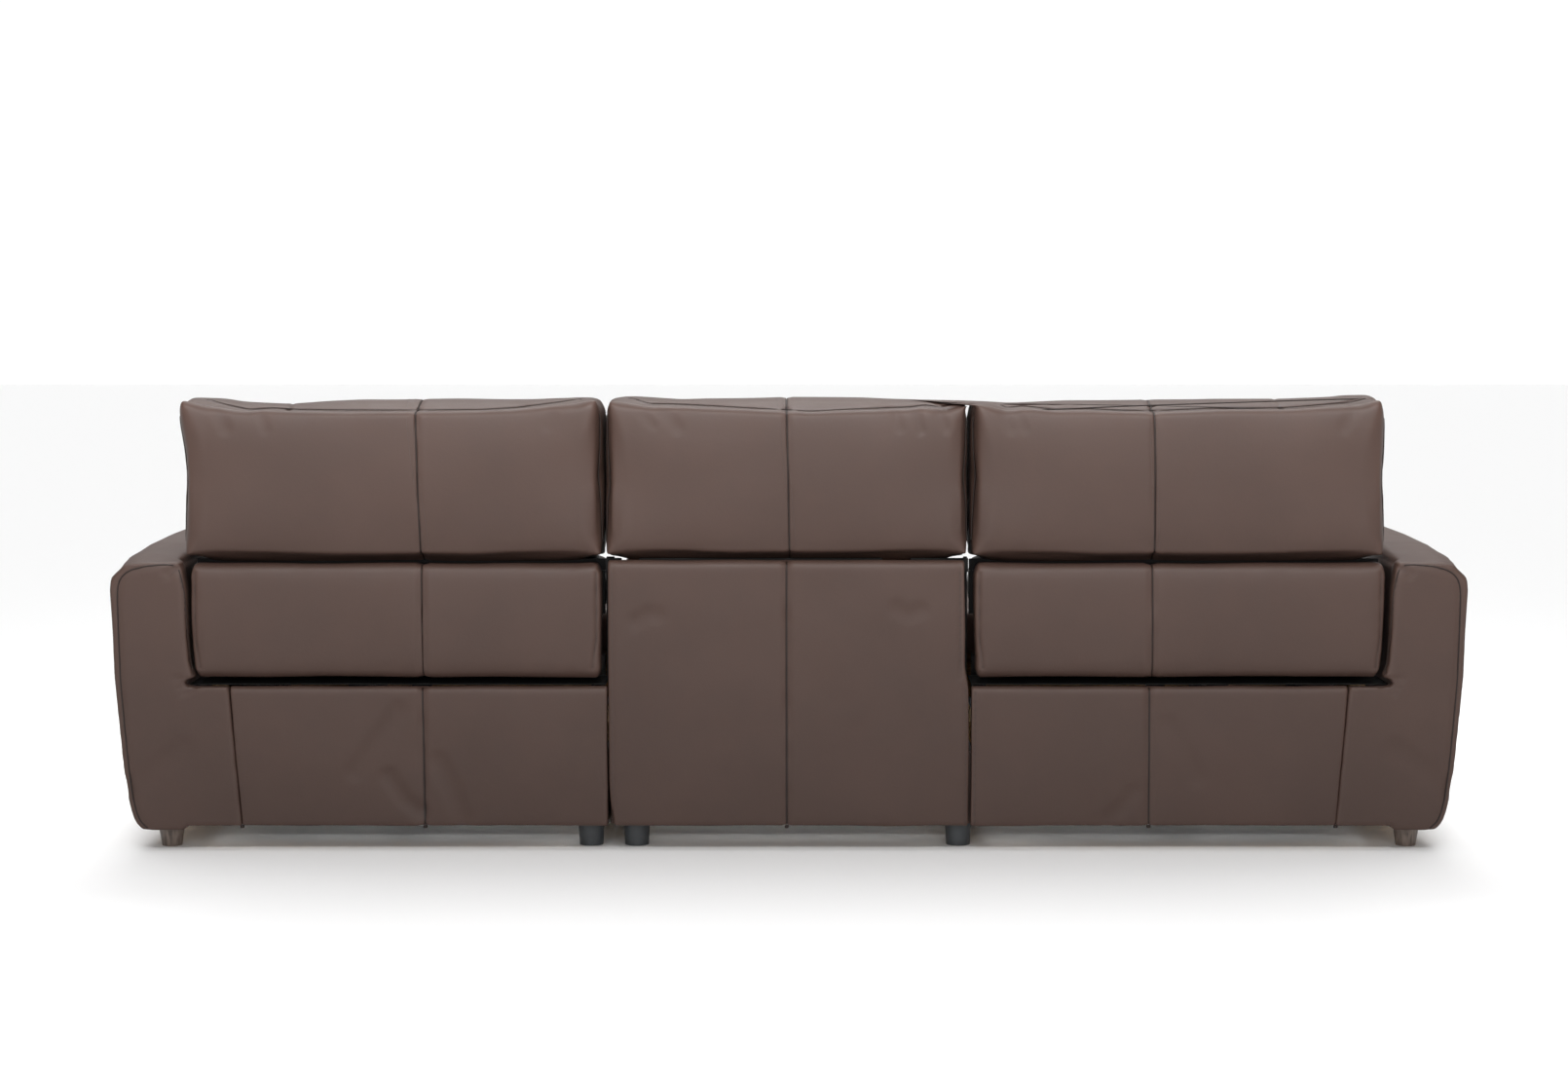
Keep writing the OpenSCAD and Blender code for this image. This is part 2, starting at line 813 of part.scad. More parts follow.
// Linear drive of a seat: gearbox, motor and guide tube, fixed on the cross rails
module recline_actuator() {
    y1 = rail_rear - rear_rail_t - touch;
    block([-gearbox[0] / 2, drive_y[1] - 0.01, drive_z - 22], [gearbox[0] / 2, y1, drive_z + 38]);
    block([-tube_w / 2, drive_y[0], drive_z - tube_h / 2],
        [tube_w / 2, drive_y[1], drive_z + tube_h / 2]);
    translate([-gearbox[0] / 2 - 90, y1 - 45, drive_z + 6])
        rotate([0, 90, 0]) cylinder(h = 90.01, r = motor_r);
}

module recline_actuators() {
    color(black) {
        left_bay() recline_actuator();
        right_bay() recline_actuator();
    }
}

rocker_y = [for (i = [-1 : 1]) panel_y + i * rocker_pitch];
panel_face = x_arm - 1.5;
axle_r = 1.5;
axle_gap = 0.06;
rocker_axis_x = panel_face + 5;

// Control panel set in the inner face of an arm, with three rocker pockets
module control_panel() {
    difference() {
        block([panel_face, panel_y - panel_l / 2, panel_mid_z - panel_h / 2],
            [x_arm + pocket_depth + 1, panel_y + panel_l / 2, panel_mid_z + panel_h / 2]);
        for (y = rocker_y) {
            block([panel_face - 1, y - rocker_w / 2 - 0.6, panel_mid_z - rocker_h / 2 - 2],
                [panel_face + pocket_depth, y + rocker_w / 2 + 0.6, panel_mid_z + rocker_h / 2 + 2]);
            translate([rocker_axis_x, y - rocker_w / 2 - 4, panel_mid_z])
                rotate([-90, 0, 0]) cylinder(h = rocker_w + 8, r = axle_r + axle_gap);
        }
    }
}

module control_panels() {
    color(black) both_sides() control_panel();
}

// A rocker with a dished face, on its own axle
module rocker(y) {
    front = panel_face - 3;
    back = panel_face + 6.5;
    difference() {
        union() {
            block([front, y - rocker_w / 2, panel_mid_z - rocker_h / 2],
                [back, y + rocker_w / 2, panel_mid_z + rocker_h / 2]);
            translate([rocker_axis_x, y - rocker_w / 2 - 3, panel_mid_z])
                rotate([-90, 0, 0]) cylinder(h = rocker_w + 6, r = axle_r);
        }
        translate([front - 58.5, y - rocker_w / 2 - 1, panel_mid_z])
            rotate([-90, 0, 0]) cylinder(h = rocker_w + 2, r = 60, $fn = 96);
    }
}

module left_recline_rocker() {
    color(bright_steel) rocker(rocker_y[0]);
}

module left_legrest_rocker() {
    color(bright_steel) rocker(rocker_y[1]);
}

module left_headrest_rocker() {
    color(bright_steel) rocker(rocker_y[2]);
}

module right_recline_rocker() {
    color(bright_steel) mirror([1, 0, 0]) rocker(rocker_y[0]);
}

module right_legrest_rocker() {
    color(bright_steel) mirror([1, 0, 0]) rocker(rocker_y[1]);
}

module right_headrest_rocker() {
    color(bright_steel) mirror([1, 0, 0]) rocker(rocker_y[2]);
}

slot_half = pivot_r + slot_gap;

// Steel side plate of a seat carriage, with its slot, scissor pivot and recline pin
module carriage_plate() {
    low = slot_low - link_w / 2;
    lip = 24;
    difference() {
        union() {
            plate([[scissor_y - lip, low], [scissor_y + lip, low], [scissor_y + lip + 20, bar_z - 12],
                [cross_tube_rear + tube_s + 30, bar_z - 12], [recline_y + lug_r, recline_z],
                [recline_y - lug_r, recline_z], [seat_rear + 9, seat_z], [seat_rear + 7, tube_z + tube_s],
                [scissor_y - lip, tube_z + tube_s]], plate_in, plate_out);
            bar_x(plate_in, plate_out, recline_y, recline_z, lug_r);
        }
        hull()
            for (z = [slot_low, slot_high])
                bar_x(plate_in - 1, plate_out + 1, scissor_y, z, slot_half);
        bar_x(plate_in - 1, plate_out + 1, scissor_y, scissor_z, pivot_r + pivot_gap);
    }
    bar_x(hinge_in - 1, plate_in + 0.01, recline_y, recline_z, recline_pin_r);
    block([plate_out - 0.01, bar_y[0], bar_z - bar_h / 2],
        [rail_in - track_wall - slide_gap, bar_y[1], bar_z + bar_h / 2]);
    block([plate_out - tube_s, tube_front, tube_z],
        [plate_out, cross_tube_rear + tube_s - 0.01, tube_z + tube_s]);
}

// Carriage: side plates and tubes, cross tubes, and the nut block on the drive tube
module seat_carriage() {
    both_sides() carriage_plate();
    for (y = [cross_tube_front, cross_tube_rear])
        block([-plate_in, y, tube_z], [plate_in, y + tube_s, tube_z + tube_s]);
    difference() {
        block([-tube_w / 2 - nut_wall, nut_y[0], drive_z - tube_h / 2 - nut_wall],
            [tube_w / 2 + nut_wall, nut_y[1], drive_z + tube_h / 2 + nut_wall]);
        block([-tube_w / 2 - slide_gap, nut_y[0] - 1, drive_z - tube_h / 2 - slide_gap],
            [tube_w / 2 + slide_gap, nut_y[1] + 1, drive_z + tube_h / 2 + slide_gap]);
    }
    block([-20, cross_tube_rear + 5, drive_z + tube_h / 2 + nut_wall - 0.01],
        [20, cross_tube_rear + tube_s, tube_z + 0.01]);
    block([-20, cross_tube_rear + 5, drive_z + tube_h / 2 + slide_gap],
        [20, nut_y[1], drive_z + tube_h / 2 + nut_wall]);
}

module left_seat_carriage() {
    color(steel) left_bay() seat_carriage();
}

module right_seat_carriage() {
    color(steel) right_bay() seat_carriage();
}

module left_seat_webbing() {
    color(webbing_brown) left_bay() seat_webbing(plate_out, cross_tube_front, cross_tube_rear + 15);
}

module right_seat_webbing() {
    color(webbing_brown) right_bay() seat_webbing(plate_out, cross_tube_front, cross_tube_rear + 15);
}

module left_seat_cushion() {
    color(leather) left_bay() seat_cushion(bay_half - side_gap, -seam_offset);
}

module right_seat_cushion() {
    color(leather) right_bay() seat_cushion(bay_half - side_gap, -seam_offset);
}

motor_x = [120, 200];
leg_motor_r = 24;
leg_motor_l = 120;

// Gear motor round the torque tube, hung from the front cross tube
module legrest_motor() {
    difference() {
        union() {
            block([motor_x[0], scissor_y - 22, scissor_z - 60],
                [motor_x[1], scissor_y + 30, tube_z - touch]);
            translate([(motor_x[0] + motor_x[1]) / 2, scissor_y + 29, scissor_z - 34])
                rotate([-90, 0, 0]) cylinder(h = leg_motor_l, r = leg_motor_r);
        }
        bar_x(motor_x[0] - 1, motor_x[1] + 1, scissor_y, scissor_z, torque_r + pivot_gap);
    }
}

module left_legrest_motor() {
    color(black) left_bay() legrest_motor();
}

module right_legrest_motor() {
    color(black) right_bay() legrest_motor();
}

// Hinge plate and frame of a reclining back
module back_frame() {
    both_sides() {
        difference() {
            union() {
                bar_x(hinge_in, hinge_out, recline_y, recline_z, lug_r);
                plate([[recline_y, recline_z - lug_r], [frame_front + 20, frame_low + 5],
                    [frame_rear - 10, frame_low + 5], [frame_rear - 10, cut_z],
                    [frame_front, cut_z], [recline_y, recline_z + lug_r]], hinge_in, hinge_out);
            }
            bar_x(hinge_in - 1, hinge_out + 1, recline_y, recline_z, recline_pin_r + pivot_gap);
        }
    }
    back_posts(hinge_in + 0.01, frame_low, frame_rear);
    headrest_arms(arm_plate_x);
}

module left_back_frame() {
    color(steel) left_bay() back_frame();
}

module right_back_frame() {
    color(steel) right_bay() back_frame();
}

// Back cushion with room for the hinge plates at its lower corners
module reclining_back_cushion() {
    difference() {
        back_cushion(bay_half - side_gap - 3, -seam_offset);
        both_sides()
            block([post_in + 10, 0, 0], [bay_half, frame_y + 10, cut_z + 2]);
    }
}

module left_back_cushion() {
    color(leather) left_bay() reclining_back_cushion();
}

module right_back_cushion() {
    color(leather) right_bay() reclining_back_cushion();
}

module back_rear_panel() {
    half = bay_half - side_gap - 2;
    y0 = frame_rear + touch;
    y1 = y0 + rear_panel_t;
    cushion([[y0, rear_panel_z], [y1, rear_panel_z], [y1, back_top], [y0, back_top]],
        [5, 26, 22, 5], [0, 5, 0, 0], -half, half, 18, -seam_offset);
}

module left_back_rear_panel() {
    color(leather) left_bay(back_shift) back_rear_panel();
}

module right_back_rear_panel() {
    color(leather) right_bay(back_shift) back_rear_panel();
}

module left_headrest_cushion() {
    color(leather) left_bay() headrest_cushion(bay_half - side_gap + 1, -seam_offset);
}

module right_headrest_cushion() {
    color(leather) right_bay() headrest_cushion(bay_half - side_gap + 1, -seam_offset);
}

module left_headrest_bracket() {
    color(bright_steel) left_bay() headrest_bracket();
}

module right_headrest_bracket() {
    color(bright_steel) right_bay() headrest_bracket();
}

// A straight link from p to q in the Y and Z plane, with round ends
module link(p, q, x0) {
    run = norm(q - p);
    lift = atan2(q[1] - p[1], q[0] - p[0]);
    translate([x0, p[0], p[1]])
        rotate([lift, 0, 0]) {
            block([0, 0, -link_w / 2], [link_t, run, link_w / 2]);
            bar_x(0, link_t, 0, 0, link_w / 2);
            bar_x(0, link_t, run, 0, link_w / 2);
        }
}

module pivot_hole(p, x0, r) {
    bar_x(x0 - 1, x0 + link_t + 1, p[0], p[1], r);
}

scissor_a = [scissor_y, scissor_z];
slot_p = [scissor_y, slot_low];
cross_1 = [scissor_y - link_c / 2, scissor_z - link_s / 2];
low_1 = [scissor_y - link_c, slot_low];
high_1 = [scissor_y - link_c, scissor_z];
cross_2 = [scissor_y - 1.5 * link_c, scissor_z - link_s / 2];
low_2 = [scissor_y - 2 * link_c, slot_low];
legrest_c = [scissor_y - 2 * link_c, scissor_z];

// Links driven by the torque tube
module driven_links() {
    both_sides() {
        difference() {
            link(scissor_a, low_1, layer_a);
            pivot_hole(cross_1, layer_a, pivot_r + pivot_gap);
            pivot_hole(low_1, layer_a, pivot_r + pivot_gap);
        }
        bar_x(layer_a + link_t - 0.01, plate_out - 0.5, scissor_a[0], scissor_a[1], pivot_r);
    }
    bar_x(-layer_a - 0.01, layer_a + 0.01, scissor_a[0], scissor_a[1], torque_r);
}

// Links that cross the driven ones and run in the carriage slots
module slotted_links() {
    both_sides() {
        link(slot_p, high_1, layer_b);
        bar_x(layer_b + link_t - 0.01, plate_out - 0.5, slot_p[0], slot_p[1], pivot_r);
        bar_x(layer_b + link_t - 0.01, layer_a + link_t, cross_1[0], cross_1[1], pivot_r);
        bar_x(layer_b + link_t - 0.01, layer_a + link_t, high_1[0], high_1[1], pivot_r);
    }
}

// Links that carry the legrest
module carrier_links() {
    both_sides() {
        difference() {
            link(low_1, legrest_c, layer_b);
            pivot_hole(legrest_c, layer_b, pivot_r + pivot_gap);
        }
        bar_x(layer_b + link_t - 0.01, layer_a + link_t, low_1[0], low_1[1], pivot_r);
        bar_x(layer_b + link_t - 0.01, layer_a + link_t, cross_2[0], cross_2[1], pivot_r);
    }
}

// Links that steer the carrier links
module steering_links() {
    both_sides()
        difference() {
            link(high_1, low_2, layer_a);
            pivot_hole(high_1, layer_a, pivot_r + 4 * pivot_gap);
            pivot_hole(cross_2, layer_a, pivot_r + pivot_gap);
        }
}

board_y = legrest_front + pad_t;

// Board of a legrest with the brackets that turn on the carrier links
module legrest_board() {
    half = layer_b - 6;
    ear_x = layer_b - layer_gap - link_t;
    block([-half - 40, board_y, pad_z + 20], [half + 40, board_y + board_t, pad_top - 8]);
    both_sides() {
        plate([[board_y + board_t - 0.01, legrest_c[1] - 40], [legrest_c[0], legrest_c[1] - link_w / 2],
            [legrest_c[0], legrest_c[1] + link_w / 2], [board_y + board_t - 0.01, legrest_c[1] + 26]],
            ear_x, ear_x + link_t);
        bar_x(ear_x, ear_x + link_t, legrest_c[0], legrest_c[1], link_w / 2);
        bar_x(ear_x + link_t - 0.01, layer_b + link_t, legrest_c[0], legrest_c[1], pivot_r);
    }
}

module legrest_pad() {
    half = bay_half - side_gap - 2;
    y1 = board_y - touch;
    cushion([[legrest_front, pad_z], [y1, pad_z], [y1, pad_top], [legrest_front, pad_top]],
        [24, 8, 8, 24], [0, 0, 0, 4], -half, half, 22, -seam_offset, 2);
}

module left_driven_links() {
    color(steel) left_bay() driven_links();
}

module right_driven_links() {
    color(steel) right_bay() driven_links();
}

module left_slotted_links() {
    color(steel) left_bay() slotted_links();
}

module right_slotted_links() {
    color(steel) right_bay() slotted_links();
}

module left_carrier_links() {
    color(steel) left_bay() carrier_links();
}

module right_carrier_links() {
    color(steel) right_bay() carrier_links();
}

module left_steering_links() {
    color(steel) left_bay() steering_links();
}

module right_steering_links() {
    color(steel) right_bay() steering_links();
}

module left_legrest_board() {
    color(timber) left_bay() legrest_board();
}

module right_legrest_board() {
    color(timber) right_bay() legrest_board();
}

module left_legrest_pad() {
    color(leather) left_bay() legrest_pad();
}

module right_legrest_pad() {
    color(leather) right_bay() legrest_pad();
}

left_arm_cover();
right_arm_cover();
arm_frames();
left_lower_back_panel();
right_lower_back_panel();
left_base_frame();
twin_base_frame();
unit_side_panels();
middle_back_panel();
middle_back_frame();
middle_back_cushion();
middle_seat_deck();
middle_seat_cushion();
middle_front_panel();
middle_headrest_cushion();
middle_headrest_bracket();
wooden_feet();
plastic_feet();
unit_connectors();
power_supplies();
recline_tracks();
recline_actuators();
control_panels();
left_seat_carriage();
left_seat_webbing();
left_seat_cushion();
left_legrest_motor();
left_back_frame();
left_back_cushion();
left_back_rear_panel();
left_headrest_bracket();
left_headrest_cushion();
left_driven_links();
left_slotted_links();
left_carrier_links();
left_steering_links();
left_legrest_board();
left_legrest_pad();
left_recline_rocker();
left_legrest_rocker();
left_headrest_rocker();
right_seat_carriage();
right_seat_webbing();
right_seat_cushion();
right_legrest_motor();
right_back_frame();
right_back_cushion();
right_back_rear_panel();
right_headrest_bracket();
right_headrest_cushion();
right_driven_links();
right_slotted_links();
right_carrier_links();
right_steering_links();
right_legrest_board();
right_legrest_pad();
right_recline_rocker();
right_legrest_rocker();
right_headrest_rocker();
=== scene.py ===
# %% [markdown]
# # A power reclining sofa in brown leather
#
# This lesson dresses a finished construction model. The model gives every board, link and cushion its
# place; here each of them gets the look of the real thing. The sofa is photographed from behind, so the
# rear faces get the closest attention, and the front is finished as such a sofa is.

import json
import math

import bpy
import numpy as np
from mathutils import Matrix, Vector, noise
from mathutils.bvhtree import BVHTree


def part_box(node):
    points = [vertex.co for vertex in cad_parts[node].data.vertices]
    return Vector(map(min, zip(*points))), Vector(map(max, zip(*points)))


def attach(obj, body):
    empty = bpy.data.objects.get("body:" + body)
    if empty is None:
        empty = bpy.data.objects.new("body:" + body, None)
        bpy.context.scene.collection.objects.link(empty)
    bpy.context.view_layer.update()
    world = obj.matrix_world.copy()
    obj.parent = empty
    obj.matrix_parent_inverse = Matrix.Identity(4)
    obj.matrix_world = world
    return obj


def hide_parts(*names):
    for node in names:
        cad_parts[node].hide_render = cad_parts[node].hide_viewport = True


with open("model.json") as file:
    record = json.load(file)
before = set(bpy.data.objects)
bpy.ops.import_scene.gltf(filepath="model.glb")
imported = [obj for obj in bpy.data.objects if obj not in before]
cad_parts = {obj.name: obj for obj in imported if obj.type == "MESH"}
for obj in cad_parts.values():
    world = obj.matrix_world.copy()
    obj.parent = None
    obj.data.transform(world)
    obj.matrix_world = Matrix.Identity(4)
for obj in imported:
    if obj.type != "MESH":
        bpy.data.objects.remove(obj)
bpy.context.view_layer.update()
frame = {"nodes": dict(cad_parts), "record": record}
scene = bpy.context.scene

# %% [markdown]
# ## Camera
#
# A product picture of a long, low piece is taken with a long lens from some way off, so that the
# verticals stay nearly upright. The camera stands behind the sofa, higher than its top, and looks
# slightly down. Blender's camera looks along its own -Z, so a turn about X lifts it from looking
# straight down, and half a turn about Z faces it the other way.

# %% Camera
LENS = 70.72  # millimetres, on a sensor that is 36 mm wide
CAMERA_PLACE = (0.0098, 6.61, 1.12)
CAMERA_DIP = 4.65  # degrees below level

camera_data = bpy.data.cameras.new("camera")
camera_data.lens = LENS
camera_data.sensor_width = 36
camera = bpy.data.objects.new("camera", camera_data)
camera.location = CAMERA_PLACE
camera.rotation_euler = (math.radians(90 - CAMERA_DIP), 0, math.radians(180))
scene.collection.objects.link(camera)
scene.camera = camera
scene.view_settings.view_transform = "Standard"

# %% [markdown]
# ## Floor and light
#
# The studio is a pale floor that fades into a white surround. Above the surround the room is dim, up to
# a large soft light overhead. So most of the light falls from above, which makes the tops of the
# cushions lighter than their feet and leaves a soft shadow below. A softbox near each long side adds
# the satin shine along the upper edges.

# %% Floor
bpy.ops.mesh.primitive_plane_add(size=60)
floor = bpy.context.object
floor.name = "floor"

# %% Brightness of the room
SURROUND = 1.05  # the white wall all round, up to the height the camera sees
DIM = 0.25  # the room above it
OVERHEAD = 3.0  # the light straight above
WALL_TOP = (0.13, 0.26)  # how high a view has to point to leave the wall, and to be all above it
OVERHEAD_EDGE = (0.80, 0.92)  # how near to its middle the overhead light begins, and is full
OVERHEAD_WAY = (0, -0.30, 0.954)  # it leans to the sofa's front, so the shadow falls a little behind

# %% Light from all round
world = bpy.data.worlds.new("studio")
scene.world = world
world.use_nodes = True
sky = world.node_tree
surround = sky.nodes["Background"]
surround.inputs["Color"].default_value = (1, 1, 1, 1)
heading = sky.nodes.new("ShaderNodeTexCoord")
split = sky.nodes.new("ShaderNodeSeparateXYZ")
sky.links.new(heading.outputs["Generated"], split.inputs[0])
lean = sky.nodes.new("ShaderNodeVectorMath")
lean.operation = "DOT_PRODUCT"
lean.inputs[1].default_value = OVERHEAD_WAY
sky.links.new(heading.outputs["Generated"], lean.inputs[0])


def sky_step(height, edge, first, last):
    """A value that changes from first to last between the edge's two heights."""
    step = sky.nodes.new("ShaderNodeMapRange")
    step.interpolation_type = "SMOOTHSTEP"
    for socket, value in zip(("From Min", "From Max", "To Min", "To Max"), (*edge, first, last)):
        step.inputs[socket].default_value = value
    sky.links.new(height, step.inputs["Value"])
    return step.outputs[0]


total = sky.nodes.new("ShaderNodeMath")
sky.links.new(sky_step(split.outputs["Z"], WALL_TOP, SURROUND, DIM), total.inputs[0])
sky.links.new(sky_step(lean.outputs["Value"], OVERHEAD_EDGE, 0.0, OVERHEAD), total.inputs[1])
sky.links.new(total.outputs[0], surround.inputs["Strength"])


# %% Softboxes
def softbox(name, place, target, size, power, spread=180):
    light = bpy.data.lights.new(name, "AREA")
    light.spread = math.radians(spread)
    light.shape = "RECTANGLE"
    light.size, light.size_y = size
    light.energy = power
    obj = bpy.data.objects.new(name, light)
    obj.location = place
    obj.rotation_euler = (Vector(target) - Vector(place)).to_track_quat("-Z", "Y").to_euler()
    scene.collection.objects.link(obj)


softbox("rear_key", (0.0, 2.4, 2.5), target=(0, 0.5, 1.15), size=(4.4, 0.5), power=23, spread=46)
softbox("front_key", (0.0, -1.9, 3.2), target=(0, -0.4, 0.6), size=(4.4, 0.5), power=12, spread=60)
softbox("rear_fill", (0.0, 4.5, 1.2), target=(0, 0.5, 0.3), size=(5.0, 1.2), power=65)

# %% [markdown]
# ## Writing materials as sums
#
# A material is a network of nodes, and long networks are hard to read when each link is a line of
# code. A small class wraps a socket, so that `1 - mask * 0.3` adds the Math nodes by itself. Every
# other node comes from one method, which takes its type, its settings and its inputs.

# %% A socket that can be added and multiplied
class Signal:
    def __init__(self, finish, socket):
        self.finish = finish
        self.socket = socket

    def math(self, operation, first, second):
        return self.finish.node("ShaderNodeMath", {"operation": operation}, {0: first, 1: second})

    def __add__(self, other):
        return self.math("ADD", self, other)

    def __sub__(self, other):
        return self.math("SUBTRACT", self, other)

    def __rsub__(self, other):
        return self.math("SUBTRACT", other, self)

    def __mul__(self, other):
        return self.math("MULTIPLY", self, other)

    def span(self, low, high):
        """0 at the low value, 1 at the high one, and eased between them."""
        return self.finish.node("ShaderNodeMapRange", {"interpolation_type": "SMOOTHSTEP"},
                                {"Value": self, "From Min": low, "From Max": high})


# %% A material that makes its own nodes
class Finish:
    def __init__(self, name):
        self.material = bpy.data.materials.new(name)
        self.material.use_nodes = True
        self.tree = self.material.node_tree
        self.shader = self.tree.nodes["Principled BSDF"]
        self.place = self.node("ShaderNodeTexCoord", {}, {}, "Object")

    def node(self, kind, settings, inputs, output=0):
        made = self.tree.nodes.new(kind)
        for name, value in settings.items():
            setattr(made, name, value)
        for name, value in inputs.items():
            if isinstance(value, Signal):
                self.tree.links.new(value.socket, made.inputs[name])
            else:
                made.inputs[name].default_value = value
        return Signal(self, made.outputs[output])

    def axis(self, name):
        return self.node("ShaderNodeSeparateXYZ", {}, {0: self.place}, name)

    def stretched(self, scale):
        return self.node("ShaderNodeMapping", {}, {"Vector": self.place, "Scale": scale})

    def noise(self, scale, detail, roughness, distortion=0.0, place=None):
        return self.node("ShaderNodeTexNoise", {}, {
            "Vector": place or self.place, "Scale": scale, "Detail": detail,
            "Roughness": roughness, "Distortion": distortion})

    def cells(self, scale):
        return self.node("ShaderNodeTexVoronoi", {}, {"Vector": self.place, "Scale": scale}, "Distance")

    def blend(self, share, first, second):
        mix = self.tree.nodes.new("ShaderNodeMix")
        mix.data_type = "RGBA"
        self.tree.links.new(share.socket, mix.inputs[0])
        for socket, colour in ((mix.inputs[6], first), (mix.inputs[7], second)):
            if isinstance(colour, Signal):
                self.tree.links.new(colour.socket, socket)
            else:
                socket.default_value = (*colour, 1)
        return Signal(self, mix.outputs[2])

    def attribute(self, name):
        return self.node("ShaderNodeAttribute", {"attribute_name": name}, {}, "Fac")

    def bump(self, height, strength, distance, under=None):
        inputs = {"Strength": strength, "Distance": distance, "Height": height}
        if under is not None:
            inputs["Normal"] = under
        return self.node("ShaderNodeBump", {}, inputs)

    def set(self, **values):
        for name, value in values.items():
            socket = self.shader.inputs[name.replace("_", " ")]
            if isinstance(value, Signal):
                self.tree.links.new(value.socket, socket)
            else:
                socket.default_value = (*value, 1) if isinstance(value, tuple) else value
        return self.material


def shade(tone, share):
    return tuple(value * share for value in tone)


# %% [markdown]
# ## Leather
#
# Upholstery leather is dyed hide under a thin satin finish. Its colour clouds over a hand's breadth,
# its grain is a net of pebbles a millimetre across, and over an edge it is smoother and painted a
# little lighter, partly wear and partly a painted highlight. Down in a seam a painted shade darkens it,
# with a little dust. The piece carries two numbers at each point, `ridge` and `seam`, which the
# modelling below works out from its shape.

# %% Leather
def make_leather(name, tone, gloss=0.56):
    leather = Finish(name)
    cloud = leather.noise(4.5, 3.0, 0.55)
    patch = leather.noise(22.0, 2.0, 0.5)
    ridge = leather.attribute("ridge")
    seam = leather.attribute("seam")
    clouds = (cloud * 0.75 + patch * 0.25).span(0.32, 0.68)
    colour = leather.blend(clouds, shade(tone, 0.94), shade(tone, 1.07))
    # Lighter over ridges: partly wear, partly a painted highlight.
    colour = leather.blend(ridge.span(0.15, 0.9) * 0.30, colour, shade(tone, 1.55))
    # Darker in seams: painted shade, with a little dust.
    colour = leather.blend(seam.span(0.05, 0.9) * 0.88, colour, shade(tone, 0.16))
    pebbles = leather.cells(820.0)
    pores = leather.noise(1500.0, 2.0, 0.6)
    creases = leather.noise(95.0, 3.0, 0.62, 1.2)
    relief = leather.bump(pebbles * 0.7 + pores * 0.3, 0.22, 0.0004)
    relief = leather.bump(creases, 0.16, 0.0012, relief)
    return leather.set(
        Base_Color=colour, Normal=relief,
        Roughness=patch * 0.10 + (gloss - 0.05) - ridge * 0.05,
        Specular_IOR_Level=0.30)


LEATHER_TONE = (0.050, 0.028, 0.0215)
leather = make_leather("brown_leather", LEATHER_TONE)
# A darker copy of the leather for the piping and the hem tabs: painted shade, so that they read as the dark
# lines of their seams.
painted_shade_leather = make_leather("painted_shade_leather", shade(LEATHER_TONE, 0.30), 0.6)

# %% [markdown]
# ## Thread
#
# The seams are topstitched with a bonded thread a shade darker than the hide.

# %% Thread
thread = Finish("thread")
twist = thread.noise(700.0, 1.0, 0.5)
thread_material = thread.set(
    Base_Color=thread.blend(twist, (0.030, 0.020, 0.017), (0.052, 0.036, 0.031)),
    Roughness=twist * 0.2 + 0.45)

# %% [markdown]
# ## Wood
#
# Two woods: pale construction timber inside, and the grey-brown stained feet. Grain is noise drawn
# out along one direction, so the noise reads places that are squeezed across the grain.

# %% Timber and stained wood
def make_wood(name, dark, light, along, gloss, scale=1.0):
    wood = Finish(name)
    fibres = wood.stretched(tuple((6.0 if axis == along else 120.0) * scale for axis in range(3)))
    rings = wood.stretched(tuple((1.2 if axis == along else 22.0) * scale for axis in range(3)))
    fine = wood.noise(1.0, 4.0, 0.6, 0.3, fibres)
    broad = wood.noise(1.0, 3.0, 0.55, 1.1, rings)
    grain = (fine * 0.55 + broad * 0.45).span(0.34, 0.66)
    return wood.set(
        Base_Color=wood.blend(grain, dark, light),
        Roughness=gloss - grain * 0.12,
        Normal=wood.bump(fine, 0.25, 0.0006))


timber = make_wood("timber", (0.36, 0.215, 0.10), (0.62, 0.43, 0.235), 0, 0.72)
upright_timber = make_wood("upright_timber", (0.36, 0.215, 0.10), (0.60, 0.41, 0.22), 2, 0.72)
stained_wood = make_wood("stained_wood", (0.060, 0.043, 0.035), (0.165, 0.125, 0.102), 2, 0.52, 1.6)

# %% [markdown]
# ## Metals and plastics
#
# The mechanism is black-painted steel, slightly uneven like powder coat. Brackets and tracks are
# zinc-plated, with the faint clouds of the bath. The keys are brushed, so their roughness is drawn
# out into fine lines. Plastics are moulded with a fine spark-eroded texture.

# %% Metals
paint = Finish("painted_steel")
orange_peel = paint.noise(420.0, 2.0, 0.5)
rubbed = paint.noise(14.0, 4.0, 0.65).span(0.60, 0.78)
painted_steel = paint.set(
    Base_Color=paint.blend(rubbed, (0.020, 0.020, 0.022), (0.055, 0.055, 0.058)),
    Metallic=0.35, Roughness=orange_peel * 0.12 + 0.36 - rubbed * 0.06,
    Normal=paint.bump(orange_peel, 0.12, 0.0004))

zinc = Finish("plated_steel")
bath = zinc.noise(38.0, 4.0, 0.6)
plated_steel = zinc.set(
    Base_Color=zinc.blend(bath.span(0.35, 0.7), (0.40, 0.41, 0.43), (0.60, 0.61, 0.62)),
    Metallic=0.95, Roughness=bath * 0.22 + 0.22, Normal=zinc.bump(bath, 0.08, 0.0005))

brushed = Finish("brushed_metal")
lines = brushed.noise(1.0, 2.0, 0.6, 0.0, brushed.stretched((900.0, 900.0, 25.0)))
brushed_metal = brushed.set(
    Base_Color=brushed.blend(lines, (0.36, 0.36, 0.37), (0.50, 0.50, 0.51)),
    Metallic=1.0, Roughness=lines * 0.16 + 0.24, Normal=brushed.bump(lines, 0.06, 0.0002))


